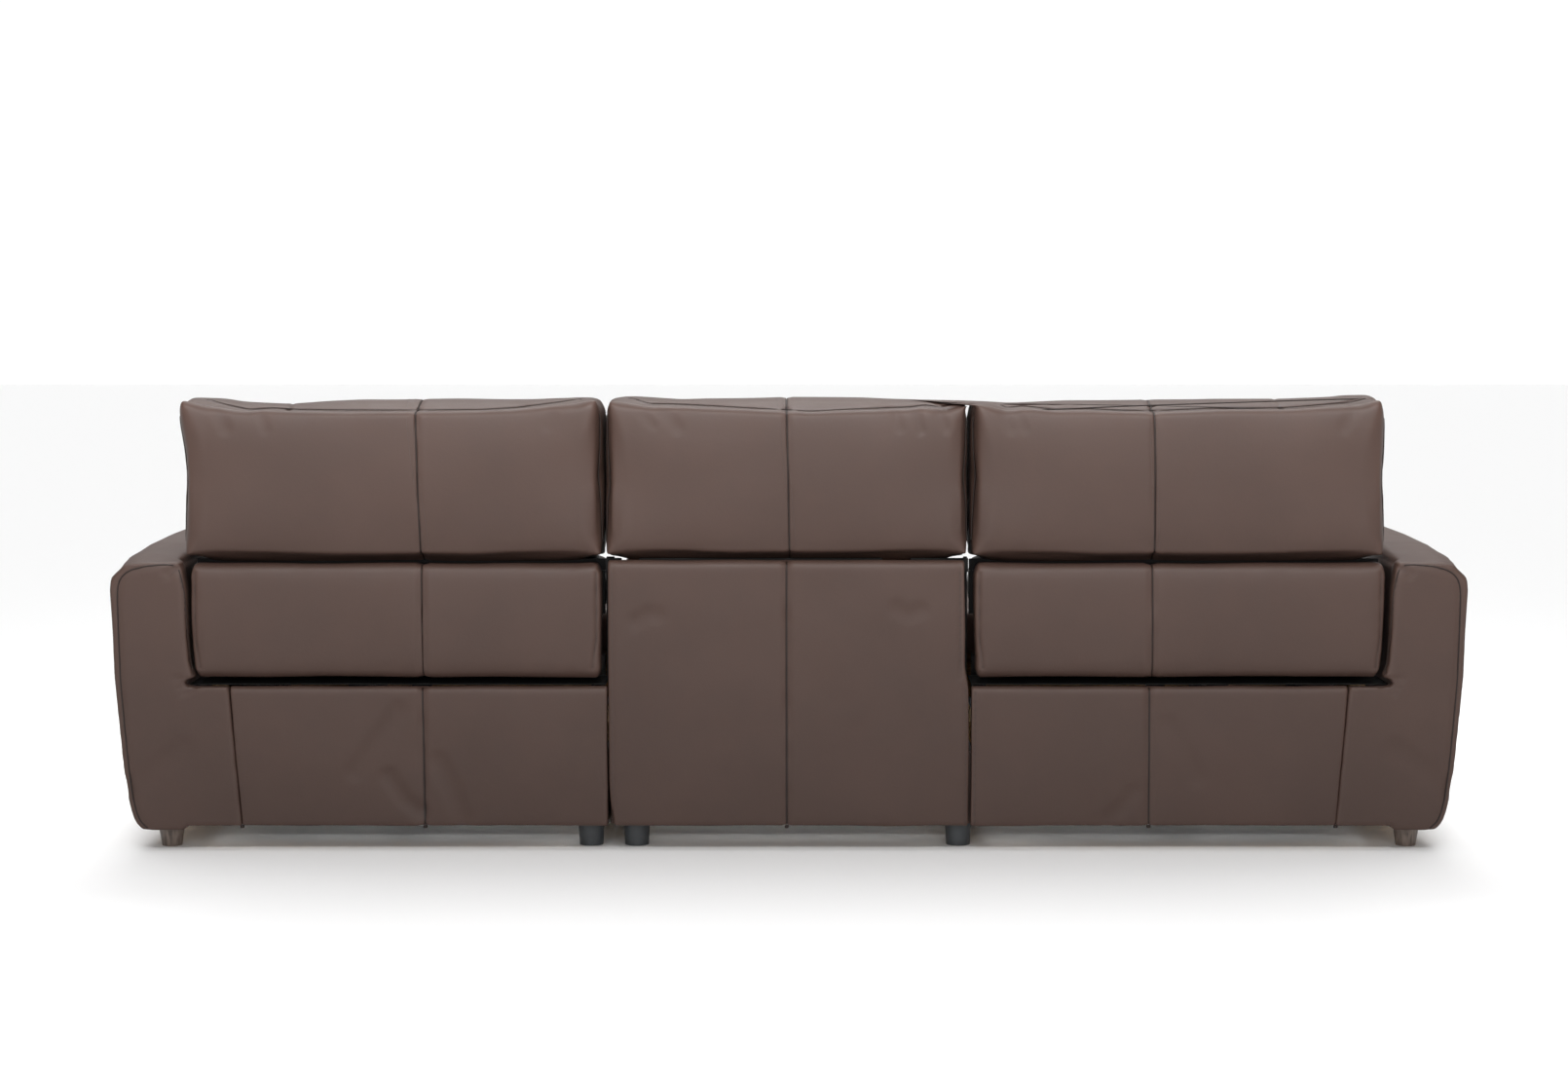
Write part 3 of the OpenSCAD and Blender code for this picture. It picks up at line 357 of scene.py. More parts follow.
# %% Plastics
def make_plastic(name, tone, gloss):
    plastic = Finish(name)
    spark = plastic.noise(950.0, 2.0, 0.55)
    haze = plastic.noise(30.0, 3.0, 0.5)
    return plastic.set(
        Base_Color=plastic.blend(haze.span(0.3, 0.7), tone, shade(tone, 1.35)),
        Roughness=spark * 0.14 + gloss, Normal=plastic.bump(spark, 0.2, 0.0003))


black_plastic = make_plastic("black_plastic", (0.018, 0.018, 0.019), 0.42)
foot_plastic = make_plastic("foot_plastic", (0.026, 0.029, 0.032), 0.38)

# %% [markdown]
# ## Webbing
#
# The seats hang on woven elastic straps. Two crossing waves of a millimetre or two give the weave,
# and a fine noise gives the fuzz of its threads.

# %% Webbing
weave = Finish("webbing")
warp = weave.node("ShaderNodeMath", {"operation": "SINE"}, {0: weave.axis("X") * 2600.0})
weft = weave.node("ShaderNodeMath", {"operation": "SINE"}, {0: weave.axis("Y") * 2100.0})
knots = (warp * weft).span(-0.6, 0.6)
fuzz = weave.noise(300.0, 3.0, 0.6)
webbing = weave.set(
    Base_Color=weave.blend(knots * 0.6 + fuzz * 0.4, (0.105, 0.078, 0.058), (0.27, 0.215, 0.165)),
    Roughness=fuzz * 0.1 + 0.82, Normal=weave.bump(knots, 0.5, 0.0008), Sheen_Weight=0.2)

# %% [markdown]
# Thin near-black felt closes the gaps from inside, as painted shade where the gaps are dark.

# %% Lining
felt = Finish("lining")
fibres = felt.noise(700.0, 4.0, 0.7)
lining = felt.set(
    Base_Color=felt.blend(fibres, (0.006, 0.006, 0.006), (0.016, 0.015, 0.015)),
    Roughness=fibres * 0.1 + 0.88, Normal=felt.bump(fibres, 0.3, 0.0005), Specular_IOR_Level=0.1)

# %% Floor finish
ground = Finish("studio_floor")
floor.data.materials.append(ground.set(Base_Color=(0.94, 0.94, 0.94), Roughness=0.9, Specular_IOR_Level=0.1))

# %% [markdown]
# ## Dress the construction model
#
# The boards, steel and plastic of the model already have their true shape. They only need their
# finish, which the record's slots give.

# %% Finishes for the model's own pieces
SLOT_FINISH = {
    "timber": timber, "dark_steel": painted_steel, "bright_steel": plated_steel,
    "control_metal": brushed_metal, "black_plastic": black_plastic, "webbing": webbing,
    "foot_wood": stained_wood, "foot_plastic": foot_plastic, "leather": leather,
}
slot_of = {part["node"]: part["material_slot"] for part in frame["record"]["subparts"]}
for name, obj in frame["nodes"].items():
    finish = SLOT_FINISH[slot_of[name]]
    if name.endswith(("back_frame", "arm_frames")) and slot_of[name] == "timber":
        finish = upright_timber
    obj.data.materials.clear()
    obj.data.materials.append(finish)
print("finished nodes", len(frame["nodes"]))

# %% [markdown]
# ## Upholstery tools
#
# A padded piece is leather pulled over foam. Each starts as the side profile of its foam block, drawn
# out across the seat. Voxel remeshing turns that block into an even net of squares, which cloth needs,
# and a cloth simulation with a little air pressure inside swells it between its corners. The seams are
# cut afterwards, because a remesh would erase them.

# %% Reading and moving points
X, Y, Z = range(3)  # the columns of a list of places


def vertex_values(obj, name):
    values = np.empty(len(obj.data.vertices) * 3)
    obj.data.vertices.foreach_get(name, values)
    return values.reshape(-1, 3)


def points_of(obj):
    return vertex_values(obj, "co")


def normals_of(obj):
    return vertex_values(obj, "normal")


def move_to(obj, places):
    obj.data.vertices.foreach_set("co", places.astype(np.float32).ravel())
    obj.data.update()


def take_hold(obj):
    """Makes the piece the only one that is selected."""
    for other in bpy.context.selected_objects:
        other.select_set(False)
    obj.select_set(True)
    bpy.context.view_layer.objects.active = obj
    return obj


def new_object(name, places, faces):
    mesh = bpy.data.meshes.new(name)
    mesh.from_pydata([tuple(place) for place in places], [], [tuple(face) for face in faces])
    obj = bpy.data.objects.new(name, mesh)
    scene.collection.objects.link(obj)
    return take_hold(obj)


def edit(obj, *steps):
    """Runs edit-mode steps on the whole mesh."""
    take_hold(obj)
    bpy.ops.object.mode_set(mode="EDIT")
    bpy.ops.mesh.select_all(action="SELECT")
    for step in steps:
        step()
    bpy.ops.object.mode_set(mode="OBJECT")


def apply(obj, kind, **settings):
    take_hold(obj)
    modifier = obj.modifiers.new(kind.title(), kind)
    for name, value in settings.items():
        setattr(modifier, name, value)
    bpy.ops.object.modifier_apply(modifier=modifier.name)


def smoothed(obj, rounds):
    apply(obj, "SMOOTH", factor=0.5, iterations=rounds)


def refined(obj):
    """Four faces for each one, rounder between the old points."""
    apply(obj, "SUBSURF", levels=1)


def cleaned(obj, distance):
    """Merges points that lie on each other, and turns all faces outwards."""
    edit(obj, lambda: bpy.ops.mesh.remove_doubles(threshold=distance),
         lambda: bpy.ops.mesh.normals_make_consistent(inside=False))
    return obj


def discard(*objects):
    for obj in objects:
        bpy.data.objects.remove(obj)


# %% [markdown]
# The profile is drawn as an upholsterer cuts foam: corners with a radius, and sides that may crown.

# %% Profiles and blocks of foam
ARC_STEPS = 8
SIDE_STEPS = 10


def rounded(corners, radii, crowns):
    """A closed outline through corners, with a radius at each and a crown on the side after it."""
    corners = np.array(corners, float)
    count = len(corners)
    bends = []
    for i in range(count):
        here, before, after = corners[i], corners[i - 1], corners[(i + 1) % count]
        u = (before - here) / np.linalg.norm(before - here)
        v = (after - here) / np.linalg.norm(after - here)
        half = math.acos(float(np.clip(u @ v, -1, 1))) / 2
        centre = here + (u + v) / np.linalg.norm(u + v) * radii[i] / math.sin(half)
        start = here + u * radii[i] / math.tan(half) - centre
        end = here + v * radii[i] / math.tan(half) - centre
        turns = [start * (1 - t) + end * t for t in np.linspace(0, 1, ARC_STEPS + 1)]
        bends.append([centre + radii[i] * turn / np.linalg.norm(turn) for turn in turns])
    outline = []
    for i in range(count):
        outline += bends[i]
        first, last = bends[i][-1], bends[(i + 1) % count][0]
        out = np.array([(last - first)[1], -(last - first)[0]]) / np.linalg.norm(last - first)
        for t in np.linspace(0, 1, SIDE_STEPS + 2)[1:-1]:
            outline.append(first + (last - first) * t + out * crowns[i] * 4 * t * (1 - t))
    return np.array(outline)


def foam(name, outline, x0, x1):
    """The outline, in the Y-Z plane, drawn out along X as a closed block."""
    obj = new_object(name, [(x0, y, z) for y, z in outline], [range(len(outline))])
    edit(obj, lambda: bpy.ops.mesh.extrude_region_move(TRANSFORM_OT_translate={"value": (x1 - x0, 0, 0)}))
    edit(obj, lambda: bpy.ops.mesh.normals_make_consistent(inside=False))
    return obj


def joined(obj, *others):
    take_hold(obj)
    for other in others:
        other.select_set(True)
    bpy.ops.object.join()
    return obj


def netted(obj, voxel, rounds=2):
    """An even net over the block's outside, with its corners eased."""
    take_hold(obj)
    obj.data.remesh_voxel_size = voxel
    bpy.ops.object.voxel_remesh()
    smoothed(obj, rounds)
    return obj


# %% [markdown]
# Some pieces inside are plain boards, and some are thin sheets with a little sag.

# %% Boards and sheets
def board(name, low, high, bevel=0.0018, steps=2):
    """A box between two corners, its edges eased."""
    low, high = Vector(low), Vector(high)
    bpy.ops.mesh.primitive_cube_add(size=1, location=(low + high) / 2, scale=high - low)
    obj = take_hold(bpy.context.object)
    obj.name = name
    bpy.ops.object.transform_apply(location=True, rotation=True, scale=True)
    apply(obj, "BEVEL", width=bevel, segments=steps)
    return obj


def laid_sheet(name, cuts, x, y, height, thickness):
    """A sheet over a rectangle; height gives each point's, from its places u and v across the sheet."""
    bpy.ops.mesh.primitive_grid_add(x_subdivisions=cuts[0], y_subdivisions=cuts[1], size=1)
    obj = bpy.context.object
    obj.name = name
    u, v = points_of(obj)[:, :2].T
    across = (x[0] + x[1]) / 2 + u * (x[1] - x[0])
    deep = (y[0] + y[1]) / 2 + v * (y[1] - y[0])
    move_to(obj, np.stack([across, deep, height(u, v)], axis=1))
    apply(obj, "SOLIDIFY", thickness=thickness, offset=-1)
    return obj


# %% [markdown]
# Cloth with pressure behaves like a thin skin blown up from inside. Without a limit a sofa cushion
# would turn into a balloon, so each point may move only so far.

# %% Swelling a cushion
SIM_FRAMES = 20
PRESSURE = 4.0


def swell(obj, cap):
    """Blows the block up, but moves no point farther than the cap."""
    start = points_of(obj)
    take_hold(obj)
    cloth = obj.modifiers.new("Cloth", "CLOTH")
    settings = cloth.settings
    settings.quality = 3
    settings.use_pressure = True
    settings.uniform_pressure_force = PRESSURE
    settings.effector_weights.gravity = 0
    cloth.point_cache.frame_start = 1
    cloth.point_cache.frame_end = SIM_FRAMES
    for step in range(1, SIM_FRAMES + 1):
        scene.frame_set(step)
    bpy.ops.object.modifier_apply(modifier=cloth.name)
    move = points_of(obj) - start
    length = np.linalg.norm(move, axis=1, keepdims=True) + 1e-9
    move_to(obj, start + move * (cap * np.tanh(length / cap) / length))
    scene.frame_set(1)
    smoothed(obj, 5)
    return obj


def swollen(name, outline, half, voxel, cap):
    """A block of foam to both sides of the middle, netted and swollen."""
    return swell(netted(foam(name, outline, -half, half), voxel), cap)


def fitted(obj, low, high, axes=(X, Y, Z)):
    """The piece stretched on the given axes to fill a box."""
    places = points_of(obj)
    first, last = places.min(0), places.max(0)
    for k in axes:
        places[:, k] = low[k] + (places[:, k] - first[k]) / (last[k] - first[k]) * (high[k] - low[k])
    move_to(obj, places)
    return obj


# %% [markdown]
# From behind, the outline of each cushion is what the eye reads first: slack corners that stand up
# like ears, a top line that dips between them. `pull_side` draws one side of a piece to such a line,
# fading inwards, the way a cover is pulled tight over its foam.

# %% Drawing a side to a line
STATIONS = 90  # places along a side where its edge is measured


def eased(value, start, end):
    """0 at the start, 1 at the end, and smooth between them."""
    share = np.clip((value - start) / (end - start), 0, 1)
    return share ** 2 * (3 - 2 * share)


def pull_side(obj, axis, side, along, line, reach, where=None, ease=3):
    """Draws one side to a line; where gives each point's share, and ease rounds the line's corners."""
    places = points_of(obj)
    run, value = places[:, along], places[:, axis] * side
    held = np.ones(len(places)) if where is None else where(places)
    stations = np.linspace(run[held > 0.5].min(), run[held > 0.5].max(), STATIONS)
    window = (stations[1] - stations[0]) * 1.5
    edge = np.array([value[(np.abs(run - s) < window) & (held > 0.5)].max() for s in stations])
    target = np.interp(stations, [p[0] for p in line], [p[1] for p in line]) * side
    kernel = np.ones(2 * ease + 1) / (2 * ease + 1)
    shift = np.convolve(np.pad(target - edge, ease, mode="edge"), kernel, mode="valid")
    share = eased(value - np.interp(run, stations, edge), -reach, 0)
    places[:, axis] += side * held * share * np.interp(run, stations, shift)
    move_to(obj, places)
    return obj


def near_rear(start, end):
    """A share that grows from 0 to 1 towards the rear."""
    return lambda places: eased(places[:, Y], start, end)


# %% [markdown]
# Leather over firm foam crowns evenly from edge to edge, and the swollen block is lumpier than that.
# So a smooth surface is fitted to the inner part of the rear face, and the face is drawn to it.

# %% Evening a face
EDGE = 0.012  # the rim of the face that stays as it is
INNER = 0.055  # from here on, the face follows the smooth surface
CROWN = 0.55  # the share of the fitted crown that is kept


def evened(obj):
    """Lets the rear face crown evenly between its edges."""
    places, normals = points_of(obj), normals_of(obj)
    low, high = places.min(0), places.max(0)
    x, z = ((2 * places[:, k] - low[k] - high[k]) / (high[k] - low[k]) for k in (0, 2))
    inside = np.minimum((1 - np.abs(x)) * (high[0] - low[0]), (1 - np.abs(z)) * (high[2] - low[2])) / 2
    rear = eased(normals[:, 1], 0.6, 0.9)
    terms = np.stack([x ** i * z ** j for i in range(5) for j in range(5)], axis=1)
    inner_face = (rear > 0.9) & (inside > 2 * EDGE)
    factors = np.linalg.lstsq(terms[inner_face], places[inner_face, 1], rcond=None)[0]
    rim = places[(rear > 0.9) & (np.abs(inside - 1.5 * EDGE) < 0.5 * EDGE), 1].mean()
    smooth = rim + (terms @ factors - rim) * CROWN
    places[:, 1] += rear * eased(inside, EDGE, INNER) * (smooth - places[:, 1])
    move_to(obj, places)


# %% [markdown]
# A seam pulls the leather into the foam. Where it runs straight, the mesh is bisected along it first,
# so that the fold has points of its own and stays sharp. A curved seam sinks the nearest points.

# %% Seams
SEAM_CUTS = (-0.0052, -0.0016, 0.0, 0.0016, 0.0052)  # where the mesh is cut beside a seam
SEAM_SHARP = 0.0017  # the half width of the fold itself
SEAM_DARK = 0.0032  # the half width of its shade


def mark(obj, name, values):
    """Keeps the larger of the old and the new value at each point."""
    layer = obj.data.attributes.get(name) or obj.data.attributes.new(name, "FLOAT", "POINT")
    old = np.empty(len(obj.data.vertices), np.float32)
    layer.data.foreach_get("value", old)
    layer.data.foreach_set("value", np.maximum(old, values).astype(np.float32))


def unevenness(places, size, seed=0.0):
    """A smooth, random value from about -1 to 1 at each place."""
    return np.array([noise.noise(Vector(place) / size + Vector((seed, 0, 0))) for place in places]) * 1.6


def slackened(obj, amount, size, seed):
    """Lets the leather lie a little unevenly."""
    places, normals = points_of(obj), normals_of(obj)
    move_to(obj, places + normals * (unevenness(places, size, seed) * amount)[:, None])
    return obj


def straight_seam(obj, top, bottom, width=0.014, dip=0.0016, fold=0.0030, where=None):
    """A seam where the plane through two (x, z) points, along Y, meets the piece."""
    run = Vector((top[0] - bottom[0], 0, top[1] - bottom[1])).normalized()
    across = Vector((run.z, 0, -run.x))
    point = Vector((bottom[0], 0, bottom[1]))
    for offset in SEAM_CUTS:
        edit(obj, lambda: bpy.ops.mesh.bisect(plane_co=point + across * offset, plane_no=across))
    places, normals = points_of(obj), normals_of(obj)
    away = np.abs((places - np.array(point)) @ np.array(across))
    flat = np.clip(1.4 - 1.4 * np.abs(normals @ np.array(across)), 0, 1)
    if where is not None:
        flat = flat * where(places)
    soft = np.clip(1 - (away / width) ** 2, 0, 1) ** 2
    near = np.where(soft > 0)[0]
    soft[near] *= 1 + 0.7 * unevenness(places[near], 0.035)
    sharp = np.clip(1 - away / SEAM_SHARP, 0, 1)
    move_to(obj, places - normals * ((soft * dip + sharp * fold) * flat)[:, None])
    # The seam number paints shade into the fold.
    mark(obj, "seam", np.clip(1 - away / SEAM_DARK, 0, 1) * np.minimum(flat * 1.5, 1))
    return obj


def distance_to(path, places):
    """How far each place is from the path, taking 40 of the path's points at a time."""
    nearest = np.full(len(places), 1e9)
    for start in range(0, len(path), 40):
        part = path[start:start + 40]
        gaps = np.linalg.norm(places[:, None, :] - part[None, :, :], axis=2).min(1)
        nearest = np.minimum(nearest, gaps)
    return nearest


def sunk(obj, path, width, depth, dark=0.0):
    """Sinks the surface near a path, which lies on it."""
    places, normals = points_of(obj), normals_of(obj)
    low, high = path.min(0) - width, path.max(0) + width
    near = np.where(((places > low) & (places < high)).all(1))[0]
    away = distance_to(path, places[near])
    share = np.clip(1 - (away / width) ** 2, 0, 1) ** 2
    places[near] -= normals[near] * (share * depth)[:, None]
    move_to(obj, places)
    # A dark share paints shade along the path, through the seam number.
    if dark:
        values = np.zeros(len(places))
        values[near] = np.clip(1 - away / (width * 0.45), 0, 1) * dark
        mark(obj, "seam", values)
    return obj


# %% Paths on a surface
def spaced(path, gap):
    """The path with its points at even distances."""
    path = np.array(path, float)
    steps = np.concatenate([[0], np.cumsum(np.linalg.norm(np.diff(path, axis=0), axis=1))])
    at = np.linspace(0, steps[-1], max(3, int(round(steps[-1] / gap)) + 1))
    return np.stack([np.interp(at, steps, path[:, k]) for k in range(3)], axis=1)


def laid_on(obj, starts, direction):
    """Where rays from the starts, in one direction or one each, meet the piece: places and normals."""
    tree = BVHTree.FromObject(obj, bpy.context.evaluated_depsgraph_get())
    places, normals = [], []
    for i, start in enumerate(starts):
        way = direction[i] if np.ndim(direction) == 2 else direction
        hit, normal, _, _ = tree.ray_cast(Vector(start), Vector(way))
        if hit is not None:
            places.append(hit)
            normals.append(normal)
    return np.array(places), np.array(normals)


def from_behind(obj, line, gap=0.004):
    """A line of (x, z) points laid on the rear face."""
    path = spaced([(x, 1.5, z) for x, z in line], gap)
    return laid_on(obj, path, (0, -1, 0))


def from_front(obj, line, gap=0.004):
    path = spaced([(x, -1.5, z) for x, z in line], gap)
    return laid_on(obj, path, (0, 1, 0))


def from_above(obj, line, gap=0.004):
    path = spaced([(x, y, 2.0) for x, y in line], gap)
    return laid_on(obj, path, (0, 0, -1))


def sewn_line(obj, way, line, width, depth, dark, gap=0.004):
    """Sinks a line into the piece, and lays it in the groove: places and normals."""
    path, _ = way(obj, line, gap)
    sunk(obj, path, width, depth, dark)
    return way(obj, line, gap)


def girdle(obj, x, turn=(0, 360), lean=0.0):
    """A loop round the piece at one place across it."""
    places = points_of(obj)
    slab = places[np.abs(places[:, 0] - x) < 0.02]
    middle = tuple((slab[:, k].min() + slab[:, k].max()) / 2 for k in (1, 2))
    angles = np.radians(np.linspace(*turn, 500, endpoint=turn[1] - turn[0] < 359))
    rings = np.stack([np.zeros_like(angles), np.cos(angles), np.sin(angles)], axis=1)
    starts = np.array([x, *middle]) + rings * 0.9
    starts[:, 0] += lean * (starts[:, 2] - middle[1])
    hits, _ = laid_on(obj, starts, -rings)
    return hits


def rows_beside(obj, x, turn=(0, 360), lean=0.0, away=0.0052):
    """The rows of stitches on both sides of a centre seam."""
    return [girdle(obj, x + offset, turn, lean) for offset in (-away, away)]


# %% [markdown]
# Piping and stitches are laid along such a path. Piping is a cord in a strip of leather: a curve with
# a round bevel. A stitch is modelled once and copied every few millimetres, sunk into the leather by
# half its thickness.

# %% Piping
def piping(name, path, radius):
    curve = bpy.data.curves.new(name, "CURVE")
    curve.dimensions = "3D"
    curve.bevel_depth = radius
    curve.bevel_resolution = 2
    curve.use_fill_caps = True
    spline = curve.splines.new("POLY")
    spline.points.add(len(path) - 1)
    spline.points.foreach_set("co", np.column_stack([path, np.ones(len(path))]).ravel())
    obj = bpy.data.objects.new(name, curve)
    scene.collection.objects.link(obj)
    take_hold(obj)
    bpy.ops.object.convert(target="MESH")
    cleaned(obj, 1e-6)
    bpy.ops.object.shade_smooth()
    return obj


# %% Copies of one small form
def bead(segments, rings, size):
    """The points and the faces of a ball that is squeezed to a size."""
    bpy.ops.mesh.primitive_uv_sphere_add(segments=segments, ring_count=rings, radius=1)
    ball = bpy.context.object
    edit(ball, lambda: bpy.ops.transform.resize(value=size), lambda: bpy.ops.mesh.quads_convert_to_tris())
    points = points_of(ball)
    faces = np.array([tuple(face.vertices) for face in ball.data.polygons])
    bpy.data.objects.remove(ball)
    return points, faces


def repeated(name, faces, copies):
    """One piece of many copies, which share their faces and have points of their own."""
    all_faces = [faces + i * len(copies[0]) for i in range(len(copies))]
    return new_object(name, np.concatenate(copies), np.concatenate(all_faces))


# %% Rows of stitches
STITCH_POINTS, STITCH_FACES = bead(6, 4, (0.00048, 0.00042, 0.0018))
STITCH_PITCH = 0.0048


def smoothed_path(path, rounds=6):
    path = path.copy()
    for _ in range(rounds):
        path[1:-1] = (path[:-2] + 2 * path[1:-1] + path[2:]) / 4
    return path


def stitches(name, rows):
    """Rows of stitches along paths."""
    copies = []
    for path in rows:
        path = spaced(smoothed_path(path), STITCH_PITCH)
        along = np.gradient(path, axis=0)
        along /= np.linalg.norm(along, axis=1, keepdims=True)
        for place, way in zip(path[1:-1], along[1:-1]):
            side = np.cross(way, (0.31, 0.87, 0.38))
            side /= np.linalg.norm(side)
            turn = np.stack([side, np.cross(way, side), way], axis=1)
            copies.append(STITCH_POINTS @ turn.T + place)
    obj = repeated(name, STITCH_FACES, copies)
    bpy.ops.object.shade_smooth()
    return obj


# %% [markdown]
# Last, each piece gets its numbers for the leather, its finish and its place on a body. The `ridge`
# number is how sharply the surface bends outwards, found by comparing each point with the mean of
# its neighbours.

# %% Finishing a piece
FULL_RIDGE = 90  # the bend, in 1/m, that counts as a full ridge
RIDGE_ROUNDS = 4  # how often the ridges are spread to their neighbours


def find_ridges(obj):
    places, normals = points_of(obj), normals_of(obj)
    ends = np.empty(len(obj.data.edges) * 2, np.int64)
    obj.data.edges.foreach_get("vertices", ends)
    ends = ends.reshape(-1, 2)
    total, count = np.zeros_like(places), np.zeros(len(places))
    for a, b in ((0, 1), (1, 0)):
        np.add.at(total, ends[:, a], places[ends[:, b]])
        np.add.at(count, ends[:, a], 1)
    count = np.maximum(count, 1)
    offset = ((places - total / count[:, None]) * normals).sum(1)
    length = np.linalg.norm(places[ends[:, 0]] - places[ends[:, 1]], axis=1).mean()
    ridge = np.clip(offset / length ** 2 * 4 / FULL_RIDGE, 0, 1)
    for _ in range(RIDGE_ROUNDS):
        spread = np.zeros(len(places))
        for a, b in ((0, 1), (1, 0)):
            np.add.at(spread, ends[:, a], ridge[ends[:, b]])
        ridge = (ridge + spread / count) / 2
    mark(obj, "ridge", ridge)


def finish_piece(obj, body, slot, material, *nodes):
    obj.data.materials.clear()
    obj.data.materials.append(material)
    take_hold(obj)
    bpy.ops.object.shade_smooth()
    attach(obj, body)
    if nodes:
        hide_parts(*nodes)
    return obj


def finish_cushion(obj, body, node):
    """Leather over a filling, in place of the model's own piece."""
    find_ridges(obj)
    finish_piece(obj, body, "leather", leather, node)
    print(obj.name, "faces", len(obj.data.polygons), "size", np.round(np.ptp(points_of(obj), axis=0), 3))
    return obj


def finish_trim(name, body, rows, cords=()):
    """The stitches and the piping of a piece, which ride with it."""
    if rows:
        finish_piece(stitches(name + "_stitching", rows), body, "leather", thread_material)
    for i, (path, radius) in enumerate(cords):
        # The piping takes the darker copy of the leather, which is painted shade.
        finish_piece(piping(f"{name}_piping_{i + 1}", path, radius), body, "leather", painted_shade_leather)


# %% [markdown]
# Some pieces start from the construction model's own mesh, and some are made once and used twice. The
# two outer seats stand at the same distance from the middle one.

# %% Copies
def model_copy(name, node):
    """A copy of a construction piece to work on, its facets joined."""
    obj = bpy.data.objects.new(name, frame["nodes"][node].data.copy())
    scene.collection.objects.link(obj)
    return cleaned(obj, 2e-5)


def duplicate(obj, name, mirror=False):
    take_hold(obj)
    bpy.ops.object.duplicate()
    made = bpy.context.object
    made.name = made.data.name = name
    if mirror:
        move_to(made, points_of(made) * (-1, 1, 1))
        edit(made, lambda: bpy.ops.mesh.flip_normals())
    return made


# %% Places of the seats
SIDES = (("left", 1), ("right", -1))
SEAT_X = 0.7855  # the middle of an outer seat
SEAM_INSET = 0.047  # the front seams of an outer seat lie this much nearer to the middle seat


def seam_place(centre):
    return centre - math.copysign(SEAM_INSET, centre) if centre else 0.0


# %% [markdown]
# ## Headrests
#
# Each headrest is one soft block over the whole width of its seat. Seen from behind, its rear panel is
# sewn to the top panel with a welt that hangs a little between the corners, and the top panel rolls up
# behind it. The two corners stand up like ears, because nothing fills them as firmly as the middle.
# The outer two share one simulation, and the right one is its mirror image.

# %% Swell the headrest blocks
HEAD_OUTLINE = rounded([(0.098, 0.562), (0.507, 0.586), (0.504, 0.883), (0.266, 0.895)],
                       (0.036, 0.008, 0.010, 0.058), (0, 0.002, 0.013, 0.020))
outer_head = swollen("outer_head", HEAD_OUTLINE, half=0.413, voxel=0.0085, cap=0.008)
middle_head = swollen("middle_head", HEAD_OUTLINE, half=0.356, voxel=0.0085, cap=0.008)

